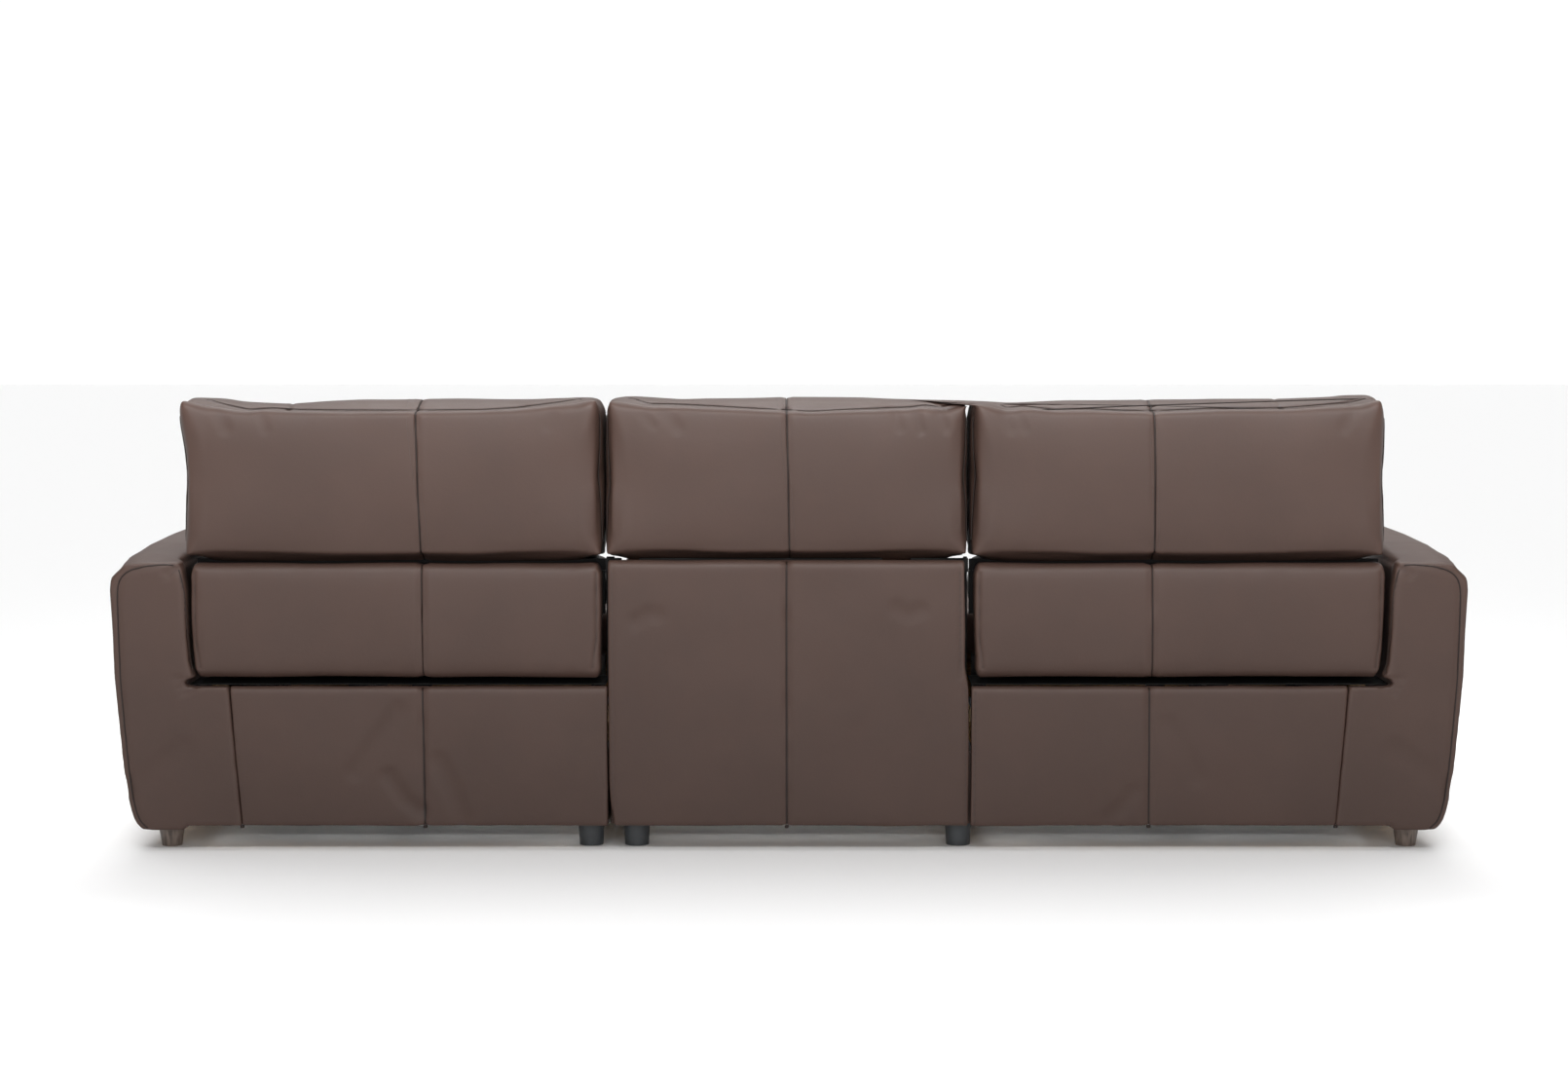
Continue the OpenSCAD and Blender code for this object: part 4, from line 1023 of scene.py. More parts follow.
# %% Headrest shapes from behind
# The lines are given as (x, z), but an end line as (z, x). The left end is the one at +X.
HEADRESTS = {
    "left": dict(
        block=outer_head, foot=0.5860, x=(0.3715, 1.2060), seam=(0.7420, 0.7330),
        top=[(0.374, 0.898), (0.385, 0.9045), (0.398, 0.9065), (0.446, 0.9030), (0.514, 0.9000),
             (0.600, 0.9000), (0.858, 0.8990), (0.931, 0.8955), (1.011, 0.8910), (1.106, 0.8950),
             (1.180, 0.9075), (1.198, 0.9065), (1.208, 0.896)],
        left_end=[(0.590, 1.2030), (0.620, 1.2075), (0.700, 1.2080), (0.800, 1.2100), (0.860, 1.2180),
                  (0.885, 1.2190), (0.905, 1.2100)],
        right_end=[(0.590, 0.3730), (0.610, 0.3710), (0.700, 0.3705), (0.850, 0.3710), (0.885, 0.3720),
                   (0.905, 0.3830)],
        welt=[(1.1860, 0.9035), (1.1781, 0.9030), (1.1506, 0.8966), (1.1159, 0.8888), (1.0812, 0.8820),
              (1.0388, 0.8845), (0.9906, 0.8818), (0.8943, 0.8812), (0.7440, 0.8810), (0.6149, 0.8824),
              (0.5455, 0.8859), (0.4761, 0.8945), (0.4270, 0.9007), (0.4068, 0.9040), (0.3921, 0.9050)],
        dents=[([(1.130, 0.872), (1.118, 0.846)], 0.022, 0.0018),
               ([(1.045, 0.866), (1.038, 0.844)], 0.018, 0.0012),
               ([(0.470, 0.872), (0.478, 0.852)], 0.020, 0.0014)],
        cross=(1.005,)),
    "middle": dict(
        block=middle_head, foot=0.5895, x=(-0.3545, 0.3640), seam=(0.0046, -0.0015),
        top=[(-0.3560, 0.892), (-0.3450, 0.8950), (-0.3280, 0.8955), (-0.3050, 0.8970), (-0.2055, 0.9005),
             (-0.1500, 0.9030), (0.0040, 0.9035), (0.1630, 0.9005), (0.2200, 0.8990), (0.2970, 0.9045),
             (0.3320, 0.9070), (0.3580, 0.9040), (0.3660, 0.896)],
        left_end=[(0.590, 0.3640), (0.610, 0.3655), (0.850, 0.3665), (0.885, 0.3670), (0.905, 0.3580)],
        right_end=[(0.590, -0.3545), (0.610, -0.3562), (0.850, -0.3565), (0.885, -0.3565),
                   (0.905, -0.3475)],
        welt=[(0.3420, 0.9040), (0.3297, 0.9050), (0.3066, 0.9010), (0.2802, 0.8935), (0.2372, 0.8929),
              (0.1495, 0.8888), (0.0626, 0.8847), (0.0046, 0.8822), (-0.0418, 0.8798), (-0.1114, 0.8828),
              (-0.1983, 0.8859), (-0.2388, 0.8870), (-0.2735, 0.8910), (-0.3024, 0.8870), (-0.3255, 0.8925),
              (-0.3400, 0.8930)],
        dents=[([(0.245, 0.878), (0.222, 0.848)], 0.022, 0.0020),
               ([(0.288, 0.872), (0.270, 0.852)], 0.016, 0.0012),
               ([(-0.212, 0.874), (-0.220, 0.846)], 0.016, 0.0016),
               ([(-0.252, 0.874), (-0.262, 0.842)], 0.016, 0.0020),
               ([(-0.296, 0.872), (-0.312, 0.846)], 0.018, 0.0018)],
        cross=()),
    "right": dict(
        block=outer_head, foot=0.5860, x=(-1.1850, -0.3630), seam=(-0.7255, -0.7286),
        top=[(-1.1870, 0.898), (-1.1780, 0.9080), (-1.1600, 0.9120), (-1.1000, 0.9060), (-1.0000, 0.9010),
             (-0.8500, 0.9000), (-0.6500, 0.8980), (-0.5500, 0.8960), (-0.4650, 0.8935), (-0.4300, 0.8940),
             (-0.3900, 0.9020), (-0.3720, 0.9040), (-0.3610, 0.896)],
        left_end=[(0.590, -0.3645), (0.610, -0.3630), (0.850, -0.3624), (0.885, -0.3627), (0.905, -0.3715)],
        right_end=[(0.590, -1.1850), (0.620, -1.1910), (0.700, -1.1915), (0.850, -1.1900),
                   (0.885, -1.1890), (0.905, -1.1800)],
        welt=[(-1.1700, 0.9040), (-1.1560, 0.9035), (-1.1250, 0.8970), (-1.0300, 0.8885), (-0.9900, 0.8860),
              (-0.8600, 0.8850), (-0.7800, 0.8820), (-0.7260, 0.8800), (-0.6600, 0.8810), (-0.6000, 0.8835),
              (-0.5300, 0.8825), (-0.4700, 0.8885), (-0.4380, 0.8855), (-0.4100, 0.8950), (-0.3880, 0.8990),
              (-0.3760, 0.9000)],
        dents=[([(-0.425, 0.874), (-0.440, 0.846)], 0.020, 0.0018),
               ([(-0.455, 0.870), (-0.466, 0.846)], 0.018, 0.0014),
               ([(-1.118, 0.874), (-1.100, 0.848)], 0.022, 0.0014)],
        cross=(-0.984,)),
}

# %% [markdown]
# The block is drawn to its lines first, and sewn afterwards. The rear panel's seam hangs along the top
# and goes down both ends. A sewn line crosses the face that the sitter leans on, and the outer
# headrests have a short cross seam in the top panel.

# %% Shape a headrest
REAR_PART = (0.18, 0.34)  # an end is drawn to its line from the first to the second depth


def shape_headrest(obj, shape):
    low, high = shape["x"]
    foot = shape["foot"]
    welt = [(x, z + 0.0015) for x, z in sorted(shape["welt"])]
    under = [(low, foot + 0.004), (low + 0.010, foot + 0.001), (low + 0.022, foot),
             (high - 0.022, foot), (high - 0.010, foot + 0.001), (high, foot + 0.004)]
    fitted(obj, (low, 0, 0), (high, 0, 0), (X,))
    refined(obj)
    evened(obj)
    pull_side(obj, Z, 1, X, shape["top"], reach=0.09, ease=1)
    pull_side(obj, Z, 1, X, welt, reach=0.05, where=near_rear(0.455, 0.49), ease=1)
    pull_side(obj, Z, -1, X, under, reach=0.05, where=near_rear(0.42, 0.48), ease=1)
    pull_side(obj, X, 1, Z, shape["left_end"], reach=0.07, where=near_rear(*REAR_PART))
    pull_side(obj, X, -1, Z, shape["right_end"], reach=0.07, where=near_rear(*REAR_PART))
    smoothed(obj, 5)
    slackened(obj, amount=0.0010, size=0.13, seed=low)
    for line, width, depth in shape["dents"]:
        sunk(obj, from_behind(obj, line)[0], width, depth)


# %% Sew a headrest
END_SEAM_Y = 0.472
END_SEAM_HEIGHTS = np.arange(0.62, 0.885, 0.004)
HEAD_SEAM_FOOT = 0.59
HEAD_SEAM_RISE = 0.30


def end_seam(obj, x):
    """The seam up an end face, a little ahead of its rear edge: places and normals."""
    way = (-math.copysign(1, x - points_of(obj)[:, 0].mean()), 0, 0)
    path, normals = laid_on(obj, [(x - way[0] * 0.2, END_SEAM_Y, z) for z in END_SEAM_HEIGHTS], way)
    sunk(obj, path, width=0.009, depth=0.0022, dark=0.9)
    return path, normals


def rear_welt(obj, shape):
    """The path of the piping round the rear panel."""
    low, high = shape["x"]
    sunk(obj, from_behind(obj, shape["welt"], 0.003)[0], width=0.009, depth=0.0026, dark=0.9)
    first, first_normals = end_seam(obj, high)
    last, last_normals = end_seam(obj, low)
    welt, normals = from_behind(obj, shape["welt"], 0.003)
    path = smoothed_path(np.concatenate([first, welt, last[::-1]]))
    return path - 0.0004 * np.concatenate([first_normals, normals, last_normals])


def build_headrest(name, shape):
    obj = duplicate(shape["block"], name + "_headrest", name == "right")
    shape_headrest(obj, shape)
    low, high = shape["x"]
    seam_top, seam_foot = shape["seam"]
    straight_seam(obj, (seam_top, HEAD_SEAM_FOOT + HEAD_SEAM_RISE), (seam_foot, HEAD_SEAM_FOOT))
    cords = [(rear_welt(obj, shape), 0.0013)]
    front = [(low + 0.02, 0.735), ((low + high) / 2, 0.728), (high - 0.02, 0.735)]
    fold, _ = sewn_line(obj, from_front, front, width=0.022, depth=0.0070, dark=0.7)
    rows = [fold + (0, 0, 0.006)]
    slope = (seam_top - seam_foot) / HEAD_SEAM_RISE
    rows += rows_beside(obj, (seam_top + seam_foot) / 2, lean=slope, away=0.0056)
    for x in shape["cross"]:
        line = [(x, 0.16), (x, 0.46)]
        cross, _ = sewn_line(obj, from_above, line, width=0.008, depth=0.0018, dark=0.7, gap=0.003)
        rows += [cross + (0.0050, 0, 0.0002), cross - (0.0050, 0, -0.0002)]
    finish_cushion(obj, name + "_headrest", name + "_headrest_cushion")
    finish_trim(name + "_headrest", name + "_headrest", rows, cords)


for name, shape in HEADRESTS.items():
    build_headrest(name, shape)
discard(outer_head, middle_head)

# %% [markdown]
# ## Outer back panels
#
# Below each outer headrest the back of the moving backrest shows: a padded panel, rounded all round,
# with a topstitched inner end. The panel leans in a little at its lower corners.

# %% Outer back panels
PANEL_OUTLINE = rounded([(0.4405, 0.3455), (0.5015, 0.3455), (0.5015, 0.5805), (0.4405, 0.5805)],
                        (0.006, 0.020, 0.016, 0.006), (0, 0.003, 0, 0))
outer_panel = swollen("outer_panel", PANEL_OUTLINE, half=0.410, voxel=0.0075, cap=0.005)
PANELS = {
    "left": dict(
        x=(0.3735, 1.1945), seam=(0.7320, 0.7303),
        left_end=[(0.346, 1.1790), (0.362, 1.1885), (0.400, 1.1920), (0.470, 1.1940), (0.555, 1.1945),
                  (0.577, 1.1870)],
        right_end=[(0.346, 0.3820), (0.362, 0.3750), (0.555, 0.3735), (0.577, 0.3830)]),
    "right": dict(
        x=(-1.1900, -0.3690), seam=(-0.7240, -0.7255),
        left_end=[(0.346, -0.3790), (0.362, -0.3720), (0.450, -0.3700), (0.555, -0.3690), (0.577, -0.3780)],
        right_end=[(0.346, -1.1730), (0.362, -1.1820), (0.400, -1.1865), (0.555, -1.1900),
                   (0.577, -1.1830)]),
}
for name, shape in PANELS.items():
    obj = duplicate(outer_panel, name + "_outer_panel", name == "right")
    low, high = shape["x"]
    fitted(obj, (low, 0.4385, 0.3455), (high, 0.5075, 0.5770))
    refined(obj)
    pull_side(obj, X, 1, Z, shape["left_end"], reach=0.06)
    pull_side(obj, X, -1, Z, shape["right_end"], reach=0.06)
    straight_seam(obj, (shape["seam"][0], 0.577), (shape["seam"][1], 0.346), width=0.016, dip=0.0024)
    slackened(obj, amount=0.0012, size=0.15, seed=low)
    edges = []
    for end, inwards in ((low, 1), (high, -1)):
        foot, top = end + inwards * 0.0185, end + inwards * 0.0100
        line = [(foot, 0.368), (top, 0.430), (top, 0.558)]
        edge, _ = sewn_line(obj, from_behind, line, width=0.0065, depth=0.0018, dark=0.6)
        edges.append(edge)
    finish_cushion(obj, name + "_back", name + "_back_rear_panel")
    finish_trim(name + "_outer_panel", name + "_back", edges)
discard(outer_panel)

# %% [markdown]
# ## Lower panels and the middle panel
#
# These are leather over board: almost flat, a little fuller between their edges, with a centre seam.
# Where the seam is tightest near the foot of a panel, the hide shows shallow folds.

# %% Fixed rear panels
PANEL_FULLNESS = 0.0034  # how far each half of a panel stands out


def build_rear_panel(name, node, outline, x0, x1, seam, folds, flare, lines=()):
    obj = netted(foam(name, outline, x0, x1), voxel=0.0055, rounds=5)
    low, high = outline.min(0), outline.max(0)
    fitted(obj, (x0, low[0], low[1]), (x1, high[0], high[1]))
    for side, line in flare:
        pull_side(obj, X, side, Z, line, reach=0.05)
    places, normals = points_of(obj), normals_of(obj)
    u = np.clip((places[:, 0] - x0) / (x1 - x0), 0, 1)
    v = np.clip((places[:, 2] - low[1]) / (high[1] - low[1]), 0, 1)
    full = PANEL_FULLNESS * np.abs(np.sin(2 * np.pi * u)) ** 0.5 * (4 * v * (1 - v)) ** 0.5
    places[:, 1] += np.where(normals[:, 1] > 0.4, full, 0)
    move_to(obj, places)
    slackened(obj, amount=0.0010, size=0.12, seed=x0)
    straight_seam(obj, (seam[0], high[1]), (seam[1], low[1]), width=0.013, dip=0.0022, fold=0.0024,
                  where=lambda places: (places[:, Y] > low[0] + 0.008).astype(float))
    for path, width, depth in folds:
        sunk(obj, from_behind(obj, path)[0], width, depth)
    rows = [sewn_line(obj, from_behind, line, width=0.006, depth=0.0016, dark=0.6)[0] for line in lines]
    finish_cushion(obj, "base", node)
    finish_trim(name, "base", rows)


LOWER_OUTLINE = rounded([(0.4825, 0.049), (0.5065, 0.049), (0.5065, 0.330), (0.4825, 0.330)],
                        (0.004, 0.006, 0.012, 0.004), (0, 0, 0, 0))
MIDDLE_OUTLINE = rounded([(0.4785, 0.049), (0.5075, 0.049), (0.5075, 0.583), (0.4785, 0.583)],
                         (0.004, 0.006, 0.016, 0.004), (0, 0, 0, 0))
build_rear_panel(
    "left_lower_panel", "left_lower_back_panel", LOWER_OUTLINE, 0.3632, 1.1170, (0.7318, 0.7285),
    [([(0.780, 0.282), (0.820, 0.225), (0.866, 0.160)], 0.030, 0.0034),
     ([(0.800, 0.150), (0.770, 0.105), (0.740, 0.080)], 0.026, 0.0040),
     ([(0.700, 0.180), (0.672, 0.120), (0.655, 0.066)], 0.030, 0.0034)],
    flare=[(1, [(0.049, 1.0955), (0.19, 1.1065), (0.330, 1.1168)])])
build_rear_panel(
    "right_lower_panel", "right_lower_back_panel", LOWER_OUTLINE, -1.1160, -0.3645, (-0.7201, -0.7208),
    [([(-0.760, 0.255), (-0.790, 0.200), (-0.815, 0.150)], 0.030, 0.0022),
     ([(-0.690, 0.120), (-0.668, 0.090), (-0.640, 0.066)], 0.024, 0.0022)],
    lines=[[(-0.3712, 0.054), (-0.3712, 0.320)]],
    flare=[(-1, [(0.049, -1.0960), (0.19, -1.1065), (0.330, -1.1158)])])
build_rear_panel(
    "middle_panel", "middle_back_panel", MIDDLE_OUTLINE, -0.3598, 0.3611, (0.0048, 0.0042),
    [([(0.305, 0.462), (0.282, 0.476), (0.262, 0.474)], 0.026, 0.0030),
     ([(-0.215, 0.488), (-0.238, 0.474), (-0.262, 0.484)], 0.026, 0.0030)],
    lines=[[(0.3525, 0.056), (0.3525, 0.574)], [(-0.3535, 0.054), (-0.3535, 0.338)],
           [(-0.3420, 0.350), (-0.3405, 0.574)]],
    flare=[(1, [(0.049, 0.3490), (0.085, 0.3570), (0.14, 0.3605), (0.583, 0.3611)]),
           (-1, [(0.049, -0.3590), (0.338, -0.3598), (0.360, -0.3520), (0.583, -0.3505)])])

# %% Folded seam ends
# The seams and the arms' corners end in a tab that hangs a few millimetres below the edge.
# The tabs take the darker copy of the leather: painted shade.
for i, x in enumerate((1.0955, 0.7285, 0.0042, -0.7208, -1.0960)):
    tab = board(f"hem_tab_{i + 1}", (x - 0.00425, 0.4990, 0.0450), (x + 0.00425, 0.5040, 0.0510), 0.0016, 3)
    finish_piece(tab, "base", "leather", painted_shade_leather)

# %% Shade cloths
CLOTH_DEPTH = 0.140


def cloth_height(u, v):
    return 0.3322 + 0.0008 * np.sin(u * 61) * np.sin((v + 0.5) * 3)


def shade_cloth(name, x0, x1):
    """Near-black felt over the rear rail, in the gap between the moving panel and the fixed one: painted
    shade.
    """
    obj = laid_sheet(name, (60, 12), (x0, x1), (0.484, 0.484 - CLOTH_DEPTH), cloth_height, 0.0012)
    finish_piece(obj, "base", "webbing", lining)


shade_cloth("left_shade_cloth", 0.366, 1.2000)
shade_cloth("right_shade_cloth", -1.2000, -0.366)

# %% [markdown]
# ## Arms
#
# The arm covers keep the model's shape, with the hollow for the arm's board frame inside. The leather
# is drawn over them more softly: a fuller outside, a welt along the rear outline and another round the
# front, and small puckers where three panels meet.

# %% Lines of the arms
# They are drawn for the left arm, and the right one mirrors them. Edges are given as (z, x), seams as
# (x, z).
ARM_EDGE = [(0.0410, 1.3007), (0.0605, 1.3150), (0.0800, 1.3215), (0.1090, 1.3285), (0.1675, 1.3360),
            (0.2450, 1.3425), (0.3425, 1.3505), (0.4400, 1.3530), (0.5365, 1.3565), (0.5560, 1.3545),
            (0.5750, 1.3410)]
GUSSET_EDGE = [(0.3450, 1.1800), (0.3550, 1.1870), (0.3700, 1.1935), (0.3900, 1.1965), (0.4300, 1.1980),
               (0.5200, 1.1995), (0.5500, 1.2040), (0.5750, 1.2075)]
ARM_HOLLOW = [(0.3600, 1.1995), (0.4200, 1.2095), (0.6000, 1.2120)]
REAR_WELT = [(1.2840, 0.0450), (1.3000, 0.0605), (1.3065, 0.0800), (1.3130, 0.1090), (1.3200, 0.1675),
             (1.3265, 0.2450), (1.3335, 0.3425), (1.3360, 0.4400), (1.3370, 0.5047), (1.3360, 0.5293),
             (1.3325, 0.5440), (1.3235, 0.5565), (1.3080, 0.5655), (1.2790, 0.5725), (1.2400, 0.5756),
             (1.2240, 0.5740)]
FRONT_WELT = [(1.3275, 0.1680), (1.3370, 0.2540), (1.3445, 0.3595), (1.3485, 0.4433), (1.3500, 0.5200),
              (1.3480, 0.5430), (1.3330, 0.5620), (1.3100, 0.5690), (1.2600, 0.5745), (1.2350, 0.5760),
              (1.2240, 0.5720)]
INNER_LINE = [(1.2140, 0.5650), (1.2090, 0.5490), (1.2035, 0.5195), (1.2015, 0.4825), (1.1995, 0.4305),
              (1.1965, 0.3815), (1.1890, 0.3530)]
PUCKERS = [((1.184, 0.341), (1.222, 0.348)), ((1.182, 0.336), (1.216, 0.330)),
           ((1.180, 0.331), (1.208, 0.316)), ((1.216, 0.566), (1.236, 0.550)),
           ((1.219, 0.570), (1.244, 0.560))]
SLACK_CREASE = [(1.212, 0.205), (1.262, 0.170), (1.312, 0.126)]


def beside_headrest(places):
    """The part of an arm's inner face that the headrest passes when the back reclines."""
    y, z = places[:, 1], places[:, 2]
    return eased(y, 0.10, 0.20) * (1 - eased(y, 0.445, 0.470)) * eased(z, 0.36, 0.42)


def on_wing(places):
    """The wing that turns the corner behind the back."""
    return eased(places[:, 1], 0.455, 0.485) * eased(places[:, 2], 0.338, 0.352)


def mirrored(line, side):
    return [(x * side, z) for x, z in line]


# %% Arm covers
ARM_FULLNESS = 0.0045  # how far the outside stands out between its edges
ARM_TOP_FULLNESS = 0.006

for name, side in SIDES:
    obj = netted(model_copy(name + "_arm", name + "_arm_cover"), voxel=0.0062, rounds=5)
    low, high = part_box(name + "_arm_cover")
    fitted(obj, low, high)
    places, normals = points_of(obj), normals_of(obj)
    outside = np.clip(normals[:, 0] * side - 0.3, 0, 1)
    height = np.clip((places[:, 2] - 0.05) / 0.5, 0, 1)
    length = np.clip(1 - np.abs(places[:, 1] / 0.50) ** 4, 0, 1)
    places += normals * (outside * ARM_FULLNESS * length * 4 * height * (1 - height))[:, None]
    top = np.clip(normals[:, 2] - 0.5, 0, 1) * (places[:, 2] > 0.5)
    places += normals * (top * ARM_TOP_FULLNESS * length)[:, None]
    move_to(obj, places)
    outer_edge, gusset_edge = ([(z, x * side) for z, x in line] for line in (ARM_EDGE, GUSSET_EDGE))
    pull_side(obj, X, side, Z, outer_edge, reach=0.06, where=near_rear(0.30, 0.45), ease=1)
    if name == "left":
        # The left headrest is wider than its seat, so this arm is hollowed where the back reclines.
        pull_side(obj, X, -1, Z, ARM_HOLLOW, reach=0.04, where=beside_headrest, ease=2)
    pull_side(obj, X, -side, Z, gusset_edge, reach=0.04, where=on_wing, ease=2)
    cords = []
    for line, way in ((REAR_WELT, from_behind), (FRONT_WELT, from_front)):
        path, normals = sewn_line(obj, way, mirrored(line, side), width=0.010, depth=0.0026, dark=0.5)
        cords.append((smoothed_path(path) - normals * 0.0002, 0.0015))
    inner_line = mirrored(INNER_LINE, side)
    edge, normals = sewn_line(obj, from_behind, inner_line, width=0.007, depth=0.0020, dark=0.9)
    cords.append((smoothed_path(edge, 4) - normals * 0.0004, 0.0012))
    for line in PUCKERS:
        pucker, _ = from_behind(obj, mirrored(line, side), 0.003)
        sunk(obj, pucker, width=0.008, depth=0.0034, dark=0.30)
    sunk(obj, from_behind(obj, mirrored(SLACK_CREASE, side))[0], width=0.034, depth=0.0030)
    inside, _ = laid_on(obj, spaced([(1.0 * side, y, 0.575) for y in (-0.46, 0.46)], 0.004), (side, 0, 0))
    sunk(obj, inside, width=0.010, depth=0.0026, dark=0.5)
    finish_cushion(obj, "base", name + "_arm_cover")
    finish_trim(name + "_arm", "base", [inside - (0, 0, 0.006)], cords)

# %% [markdown]
# ## Back cushions
#
# The sitter's side of the backs. The outer cushions are narrower low down, where the hinge plates of
# the recliner pass beside them, so their foam is two blocks that overlap; the remesh makes them one.

# %% Back cushions
BACK_OUTLINE = rounded([(0.079, 0.323), (0.367, 0.348), (0.367, 0.570), (0.126, 0.559)],
                       (0.072, 0.006, 0.010, 0.014), (0, 0, 0.002, 0.008))
UPPER_OUTLINE = rounded([(0.106, 0.462), (0.367, 0.462), (0.367, 0.570), (0.126, 0.559)],
                        (0.006, 0.006, 0.010, 0.014), (0, 0, 0.002, 0.002))
outer_back = joined(foam("outer_back", BACK_OUTLINE, -0.3425, 0.3425),
                    foam("upper_back", UPPER_OUTLINE, -0.4075, 0.4075))
outer_back = swell(netted(outer_back, voxel=0.0100), cap=0.010)
middle_back = swollen("middle_back", BACK_OUTLINE, half=0.3500, voxel=0.0100, cap=0.010)
for name, body, block, centre, half in (
        ("left_back_cushion", "left_back", outer_back, SEAT_X, 0.412),
        ("middle_back_cushion", "base", middle_back, 0.0, 0.354),
        ("right_back_cushion", "right_back", outer_back, -SEAT_X, 0.412)):
    obj = duplicate(block, name, centre < 0)
    fitted(obj, *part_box(name), (X,))
    refined(obj)
    seam_x = seam_place(centre)
    straight_seam(obj, (seam_x, 0.57), (seam_x, 0.33), width=0.020, dip=0.004)
    across = [(centre - half + 0.03, 0.470), (centre, 0.466), (centre + half - 0.03, 0.470)]
    fold, _ = sewn_line(obj, from_front, across, width=0.026, depth=0.0090, dark=0.7)
    rows = [fold + (0, 0, 0.006)] + rows_beside(obj, seam_x, (90, 270))
    finish_cushion(obj, body, name)
    finish_trim(name, body, rows)
discard(outer_back, middle_back)

# %% [markdown]
# ## Seat cushions and legrest pads
#
# A seat is a flat block with a soft front roll. A sewn line behind the roll keeps the wrap from
# sliding, and piping closes the top panel to the border all round.

# %% Seat cushions
SEAT_OUTLINE = rounded([(-0.4960, 0.3385), (0.0560, 0.3385), (0.0560, 0.4370), (-0.4960, 0.4440)],
                       (0.018, 0.005, 0.016, 0.036), (0, 0, 0.010, 0.004))
outer_seat = swollen("outer_seat", SEAT_OUTLINE, half=0.4105, voxel=0.0105, cap=0.012)
middle_seat = swollen("middle_seat", SEAT_OUTLINE, half=0.3500, voxel=0.0105, cap=0.012)
for name, body, block, centre, half in (
        ("left_seat_cushion", "left_seat", outer_seat, SEAT_X, 0.415),
        ("middle_seat_cushion", "base", middle_seat, 0.0, 0.354),
        ("right_seat_cushion", "right_seat", outer_seat, -SEAT_X, 0.415)):
    obj = duplicate(block, name, centre < 0)
    low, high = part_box(name)
    fitted(obj, (low[0], -0.503, 0.334), (high[0], 0.060, high[2] + 0.004))
    refined(obj)
    seam_x = seam_place(centre)
    straight_seam(obj, (seam_x, 0.46), (seam_x, 0.34), width=0.022, dip=0.0045)
    across = [(centre - half + 0.012, -0.385), (centre, -0.391), (centre + half - 0.012, -0.385)]
    fold, _ = sewn_line(obj, from_above, across, width=0.024, depth=0.0080, dark=0.7)
    rows = [fold + (0, 0.006, 0)] + rows_beside(obj, seam_x, (20, 215))
    corner = [(0.008, 0.03), (0.008, -0.44), (0.020, -0.478), (0.05, -0.488)]
    border = [(low[0] + x, y) for x, y in corner] + [(high[0] - x, y) for x, y in corner[::-1]]
    path, normals = sewn_line(obj, from_above, border, width=0.010, depth=0.0028, dark=0.5)
    cords = [(smoothed_path(path, 12) + normals * 0.0004, 0.0021)]
    finish_cushion(obj, body, name)
    finish_trim(name, body, rows, cords)
discard(outer_seat, middle_seat)

# %% Legrest pads and the middle front panel
PAD_OUTLINE = rounded([(-0.5010, 0.0785), (-0.4335, 0.0785), (-0.4335, 0.3190), (-0.5010, 0.3190)],
                      (0.020, 0.005, 0.005, 0.018), (0, 0, 0, 0.003))
FRONT_OUTLINE = rounded([(-0.5010, 0.0530), (-0.4535, 0.0530), (-0.4535, 0.3190), (-0.5010, 0.3190)],
                        (0.012, 0.005, 0.005, 0.018), (0, 0, 0, 0.003))
legrest_pad = swollen("pad", PAD_OUTLINE, half=0.4095, voxel=0.0085, cap=0.006)
front_panel = swollen("front", FRONT_OUTLINE, half=0.3545, voxel=0.0085, cap=0.006)
for name, body, node, block, centre in (
        ("left_legrest_pad", "left_legrest", "left_legrest_pad", legrest_pad, SEAT_X),
        ("right_legrest_pad", "right_legrest", "right_legrest_pad", legrest_pad, -SEAT_X),
        ("middle_front", "base", "middle_front_panel", front_panel, 0.0)):
    obj = duplicate(block, name, centre < 0)
    low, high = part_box(node)
    fitted(obj, low, high)
    refined(obj)
    seam_x = seam_place(centre)
    straight_seam(obj, (seam_x, high[Z]), (seam_x, low[Z]), width=0.018, dip=0.003)
    rows = rows_beside(obj, seam_x, (100, 260))
    top_line = [(low[0] + 0.014, high[2] - 0.016), (high[0] - 0.014, high[2] - 0.016)]
    edge, _ = sewn_line(obj, from_front, top_line, width=0.010, depth=0.0024, dark=0.5)
    rows.append(edge - (0, 0, 0.005))
    finish_cushion(obj, body, node)
    finish_trim(name, body, rows)
discard(legrest_pad, front_panel)

# %% [markdown]
# ## Side boards, webbing and the middle deck
#
# Between the units the sides are plain boards in the same leather. Under the seats run elastic
# straps, stapled to the rails.

# %% Side boards
sides = model_copy("side_boards", "unit_side_panels")
apply(sides, "BEVEL", width=0.0022, segments=3, limit_method="ANGLE", angle_limit=0.6)
finish_piece(sides, "base", "leather", leather, "unit_side_panels")

# %% Straps
STRAP_WIDTH = 0.062
STRAP_HEIGHT = 0.3331


def strap_height(u, v):
    return STRAP_HEIGHT - (0.0012 * np.cos(u * math.pi) + 0.0004 * np.cos(v * 9))


for name, body, node, x0, x1, y0, y1, count in (
        ("left_straps", "left_seat", "left_seat_webbing", 0.4125, 1.1585, -0.269, 0.024, 4),
        ("right_straps", "right_seat", "right_seat_webbing", -1.1585, -0.4125, -0.269, 0.024, 4),
        ("middle_straps", "base", None, -0.3227, 0.3227, -0.38, 0.03, 5)):
    straps = [laid_sheet(f"{name}_{i}", (48, 6), (x0, x1), (y - STRAP_WIDTH / 2, y + STRAP_WIDTH / 2),
                         strap_height, 0.0024) for i, y in enumerate(np.linspace(y0, y1, count))]
    obj = joined(*straps)
    obj.name = name
    finish_piece(obj, body, "webbing", webbing, *([node] if node else []))

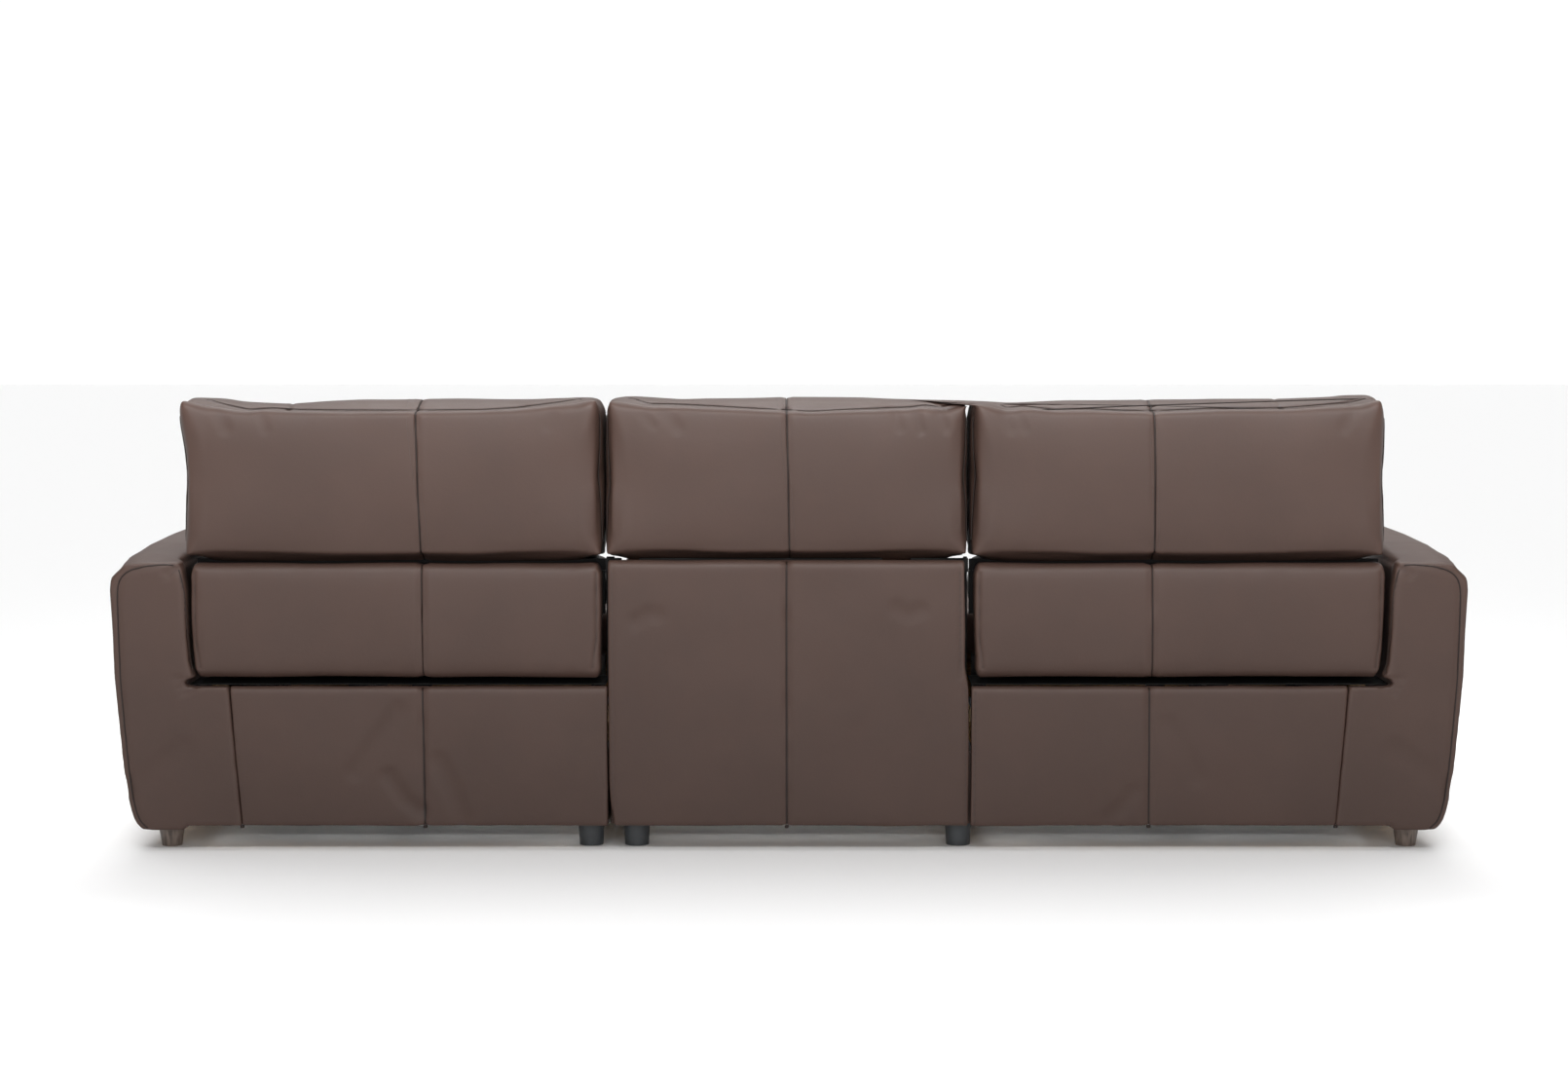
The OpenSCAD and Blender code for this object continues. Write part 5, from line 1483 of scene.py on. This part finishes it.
# %% Middle deck rails
rails = [board("rail", (-0.3477, y - 0.0125, 0.290), (0.3477, y + 0.0125, 0.3299)) for y in (-0.4375, 0.0525)]
rails += [board("rail", (x - 0.0122, -0.449, 0.2105), (x + 0.0122, 0.064, 0.3295))
          for x in (-0.3355, 0.3355, -0.3102, 0.3102)]
deck = joined(*rails)
deck.name = "middle_deck_rails"
finish_piece(deck, "base", "timber", timber, "middle_seat_deck")

# The front rail of the middle seat shows in a gap, so it is wrapped in the near-black felt, painted shade for
# that gap.
cover = board("front_rail_cover", (-0.3483, -0.4506, 0.2895), (0.3483, -0.4244, 0.3305))
finish_piece(cover, "base", "webbing", lining)

# %% [markdown]
# Sheets of the same near-black felt stand on each back, in the slot below its headrest, and upright in the
# gaps between the sections, so that no daylight falls through: painted shade for these slots and gaps.
# The middle back leaves two short openings, which the photograph shows as bright slivers.

# %% Shade sheets under the headrests
SHADE_SHEET_HALF = 0.0030  # half its thickness

for name, body, y, low, high in (
        ("left_slot_lining", "left_back", 0.434, (0.3690, 0.5575), (1.1900, 0.5815)),
        ("right_slot_lining", "right_back", 0.434, (-1.1860, 0.5575), (-0.3620, 0.5815)),
        ("left_gap_lining", "left_back", 0.434, (0.3695, 0.4700), (0.3810, 0.5570)),
        ("right_gap_lining", "right_back", 0.434, (-0.3790, 0.4700), (-0.3620, 0.5570)),
        ("middle_slot_lining_1", "base", 0.474, (0.3340, 0.5575), (0.3670, 0.5860)),
        ("middle_slot_lining_2", "base", 0.474, (-0.1870, 0.5575), (0.3000, 0.5860)),
        ("middle_slot_lining_3", "base", 0.474, (-0.3585, 0.5575), (-0.2430, 0.5860)),
        ("middle_gap_lining_1", "base", 0.440, (0.3500, 0.3455), (0.3670, 0.5860)),
        ("middle_gap_lining_2", "base", 0.440, (-0.3585, 0.3455), (-0.3500, 0.5860))):
    strip = board(name, (low[0], y - SHADE_SHEET_HALF, low[1]), (high[0], y + SHADE_SHEET_HALF, high[1]))
    finish_piece(strip, body, "webbing", lining)

# %% [markdown]
# ## Rivets
#
# The links of the legrests turn on shouldered rivets, whose domed heads show on both faces. One dome
# is made and copied to each pivot. It rides on the link that its rivet is pressed into.

# %% Rivet heads
DOME_POINTS, DOME_FACES = bead(16, 8, (0.0018, 0.0078, 0.0078))
LINK_OUT, LINK_IN, EAR_IN = 0.3652, 0.3534, 0.3469  # faces of the links and ears, from the seat's middle
RIVETS = {
    "slotted_link": [(-0.3085, 0.1812, LINK_OUT), (-0.3364, 0.2850, LINK_OUT), (-0.3085, 0.1812, LINK_IN),
                     (-0.3364, 0.2850, LINK_IN), (-0.2807, 0.0773, LINK_IN)],
    "carrier_link": [(-0.3364, 0.0773, LINK_OUT), (-0.3642, 0.1812, LINK_OUT), (-0.3364, 0.0773, LINK_IN),
                     (-0.3642, 0.1812, LINK_IN)],
    "legrest": [(-0.3920, 0.2850, EAR_IN)],
}
for side_name, side in SIDES:
    for body, pivots in RIVETS.items():
        places = [(side * SEAT_X + turn * x, y, z) for turn in (1, -1) for y, z, x in pivots]
        heads = repeated(f"{side_name}_{body}_rivets", DOME_FACES, [DOME_POINTS + place for place in places])
        finish_piece(heads, f"{side_name}_{body}", "bright_steel", plated_steel)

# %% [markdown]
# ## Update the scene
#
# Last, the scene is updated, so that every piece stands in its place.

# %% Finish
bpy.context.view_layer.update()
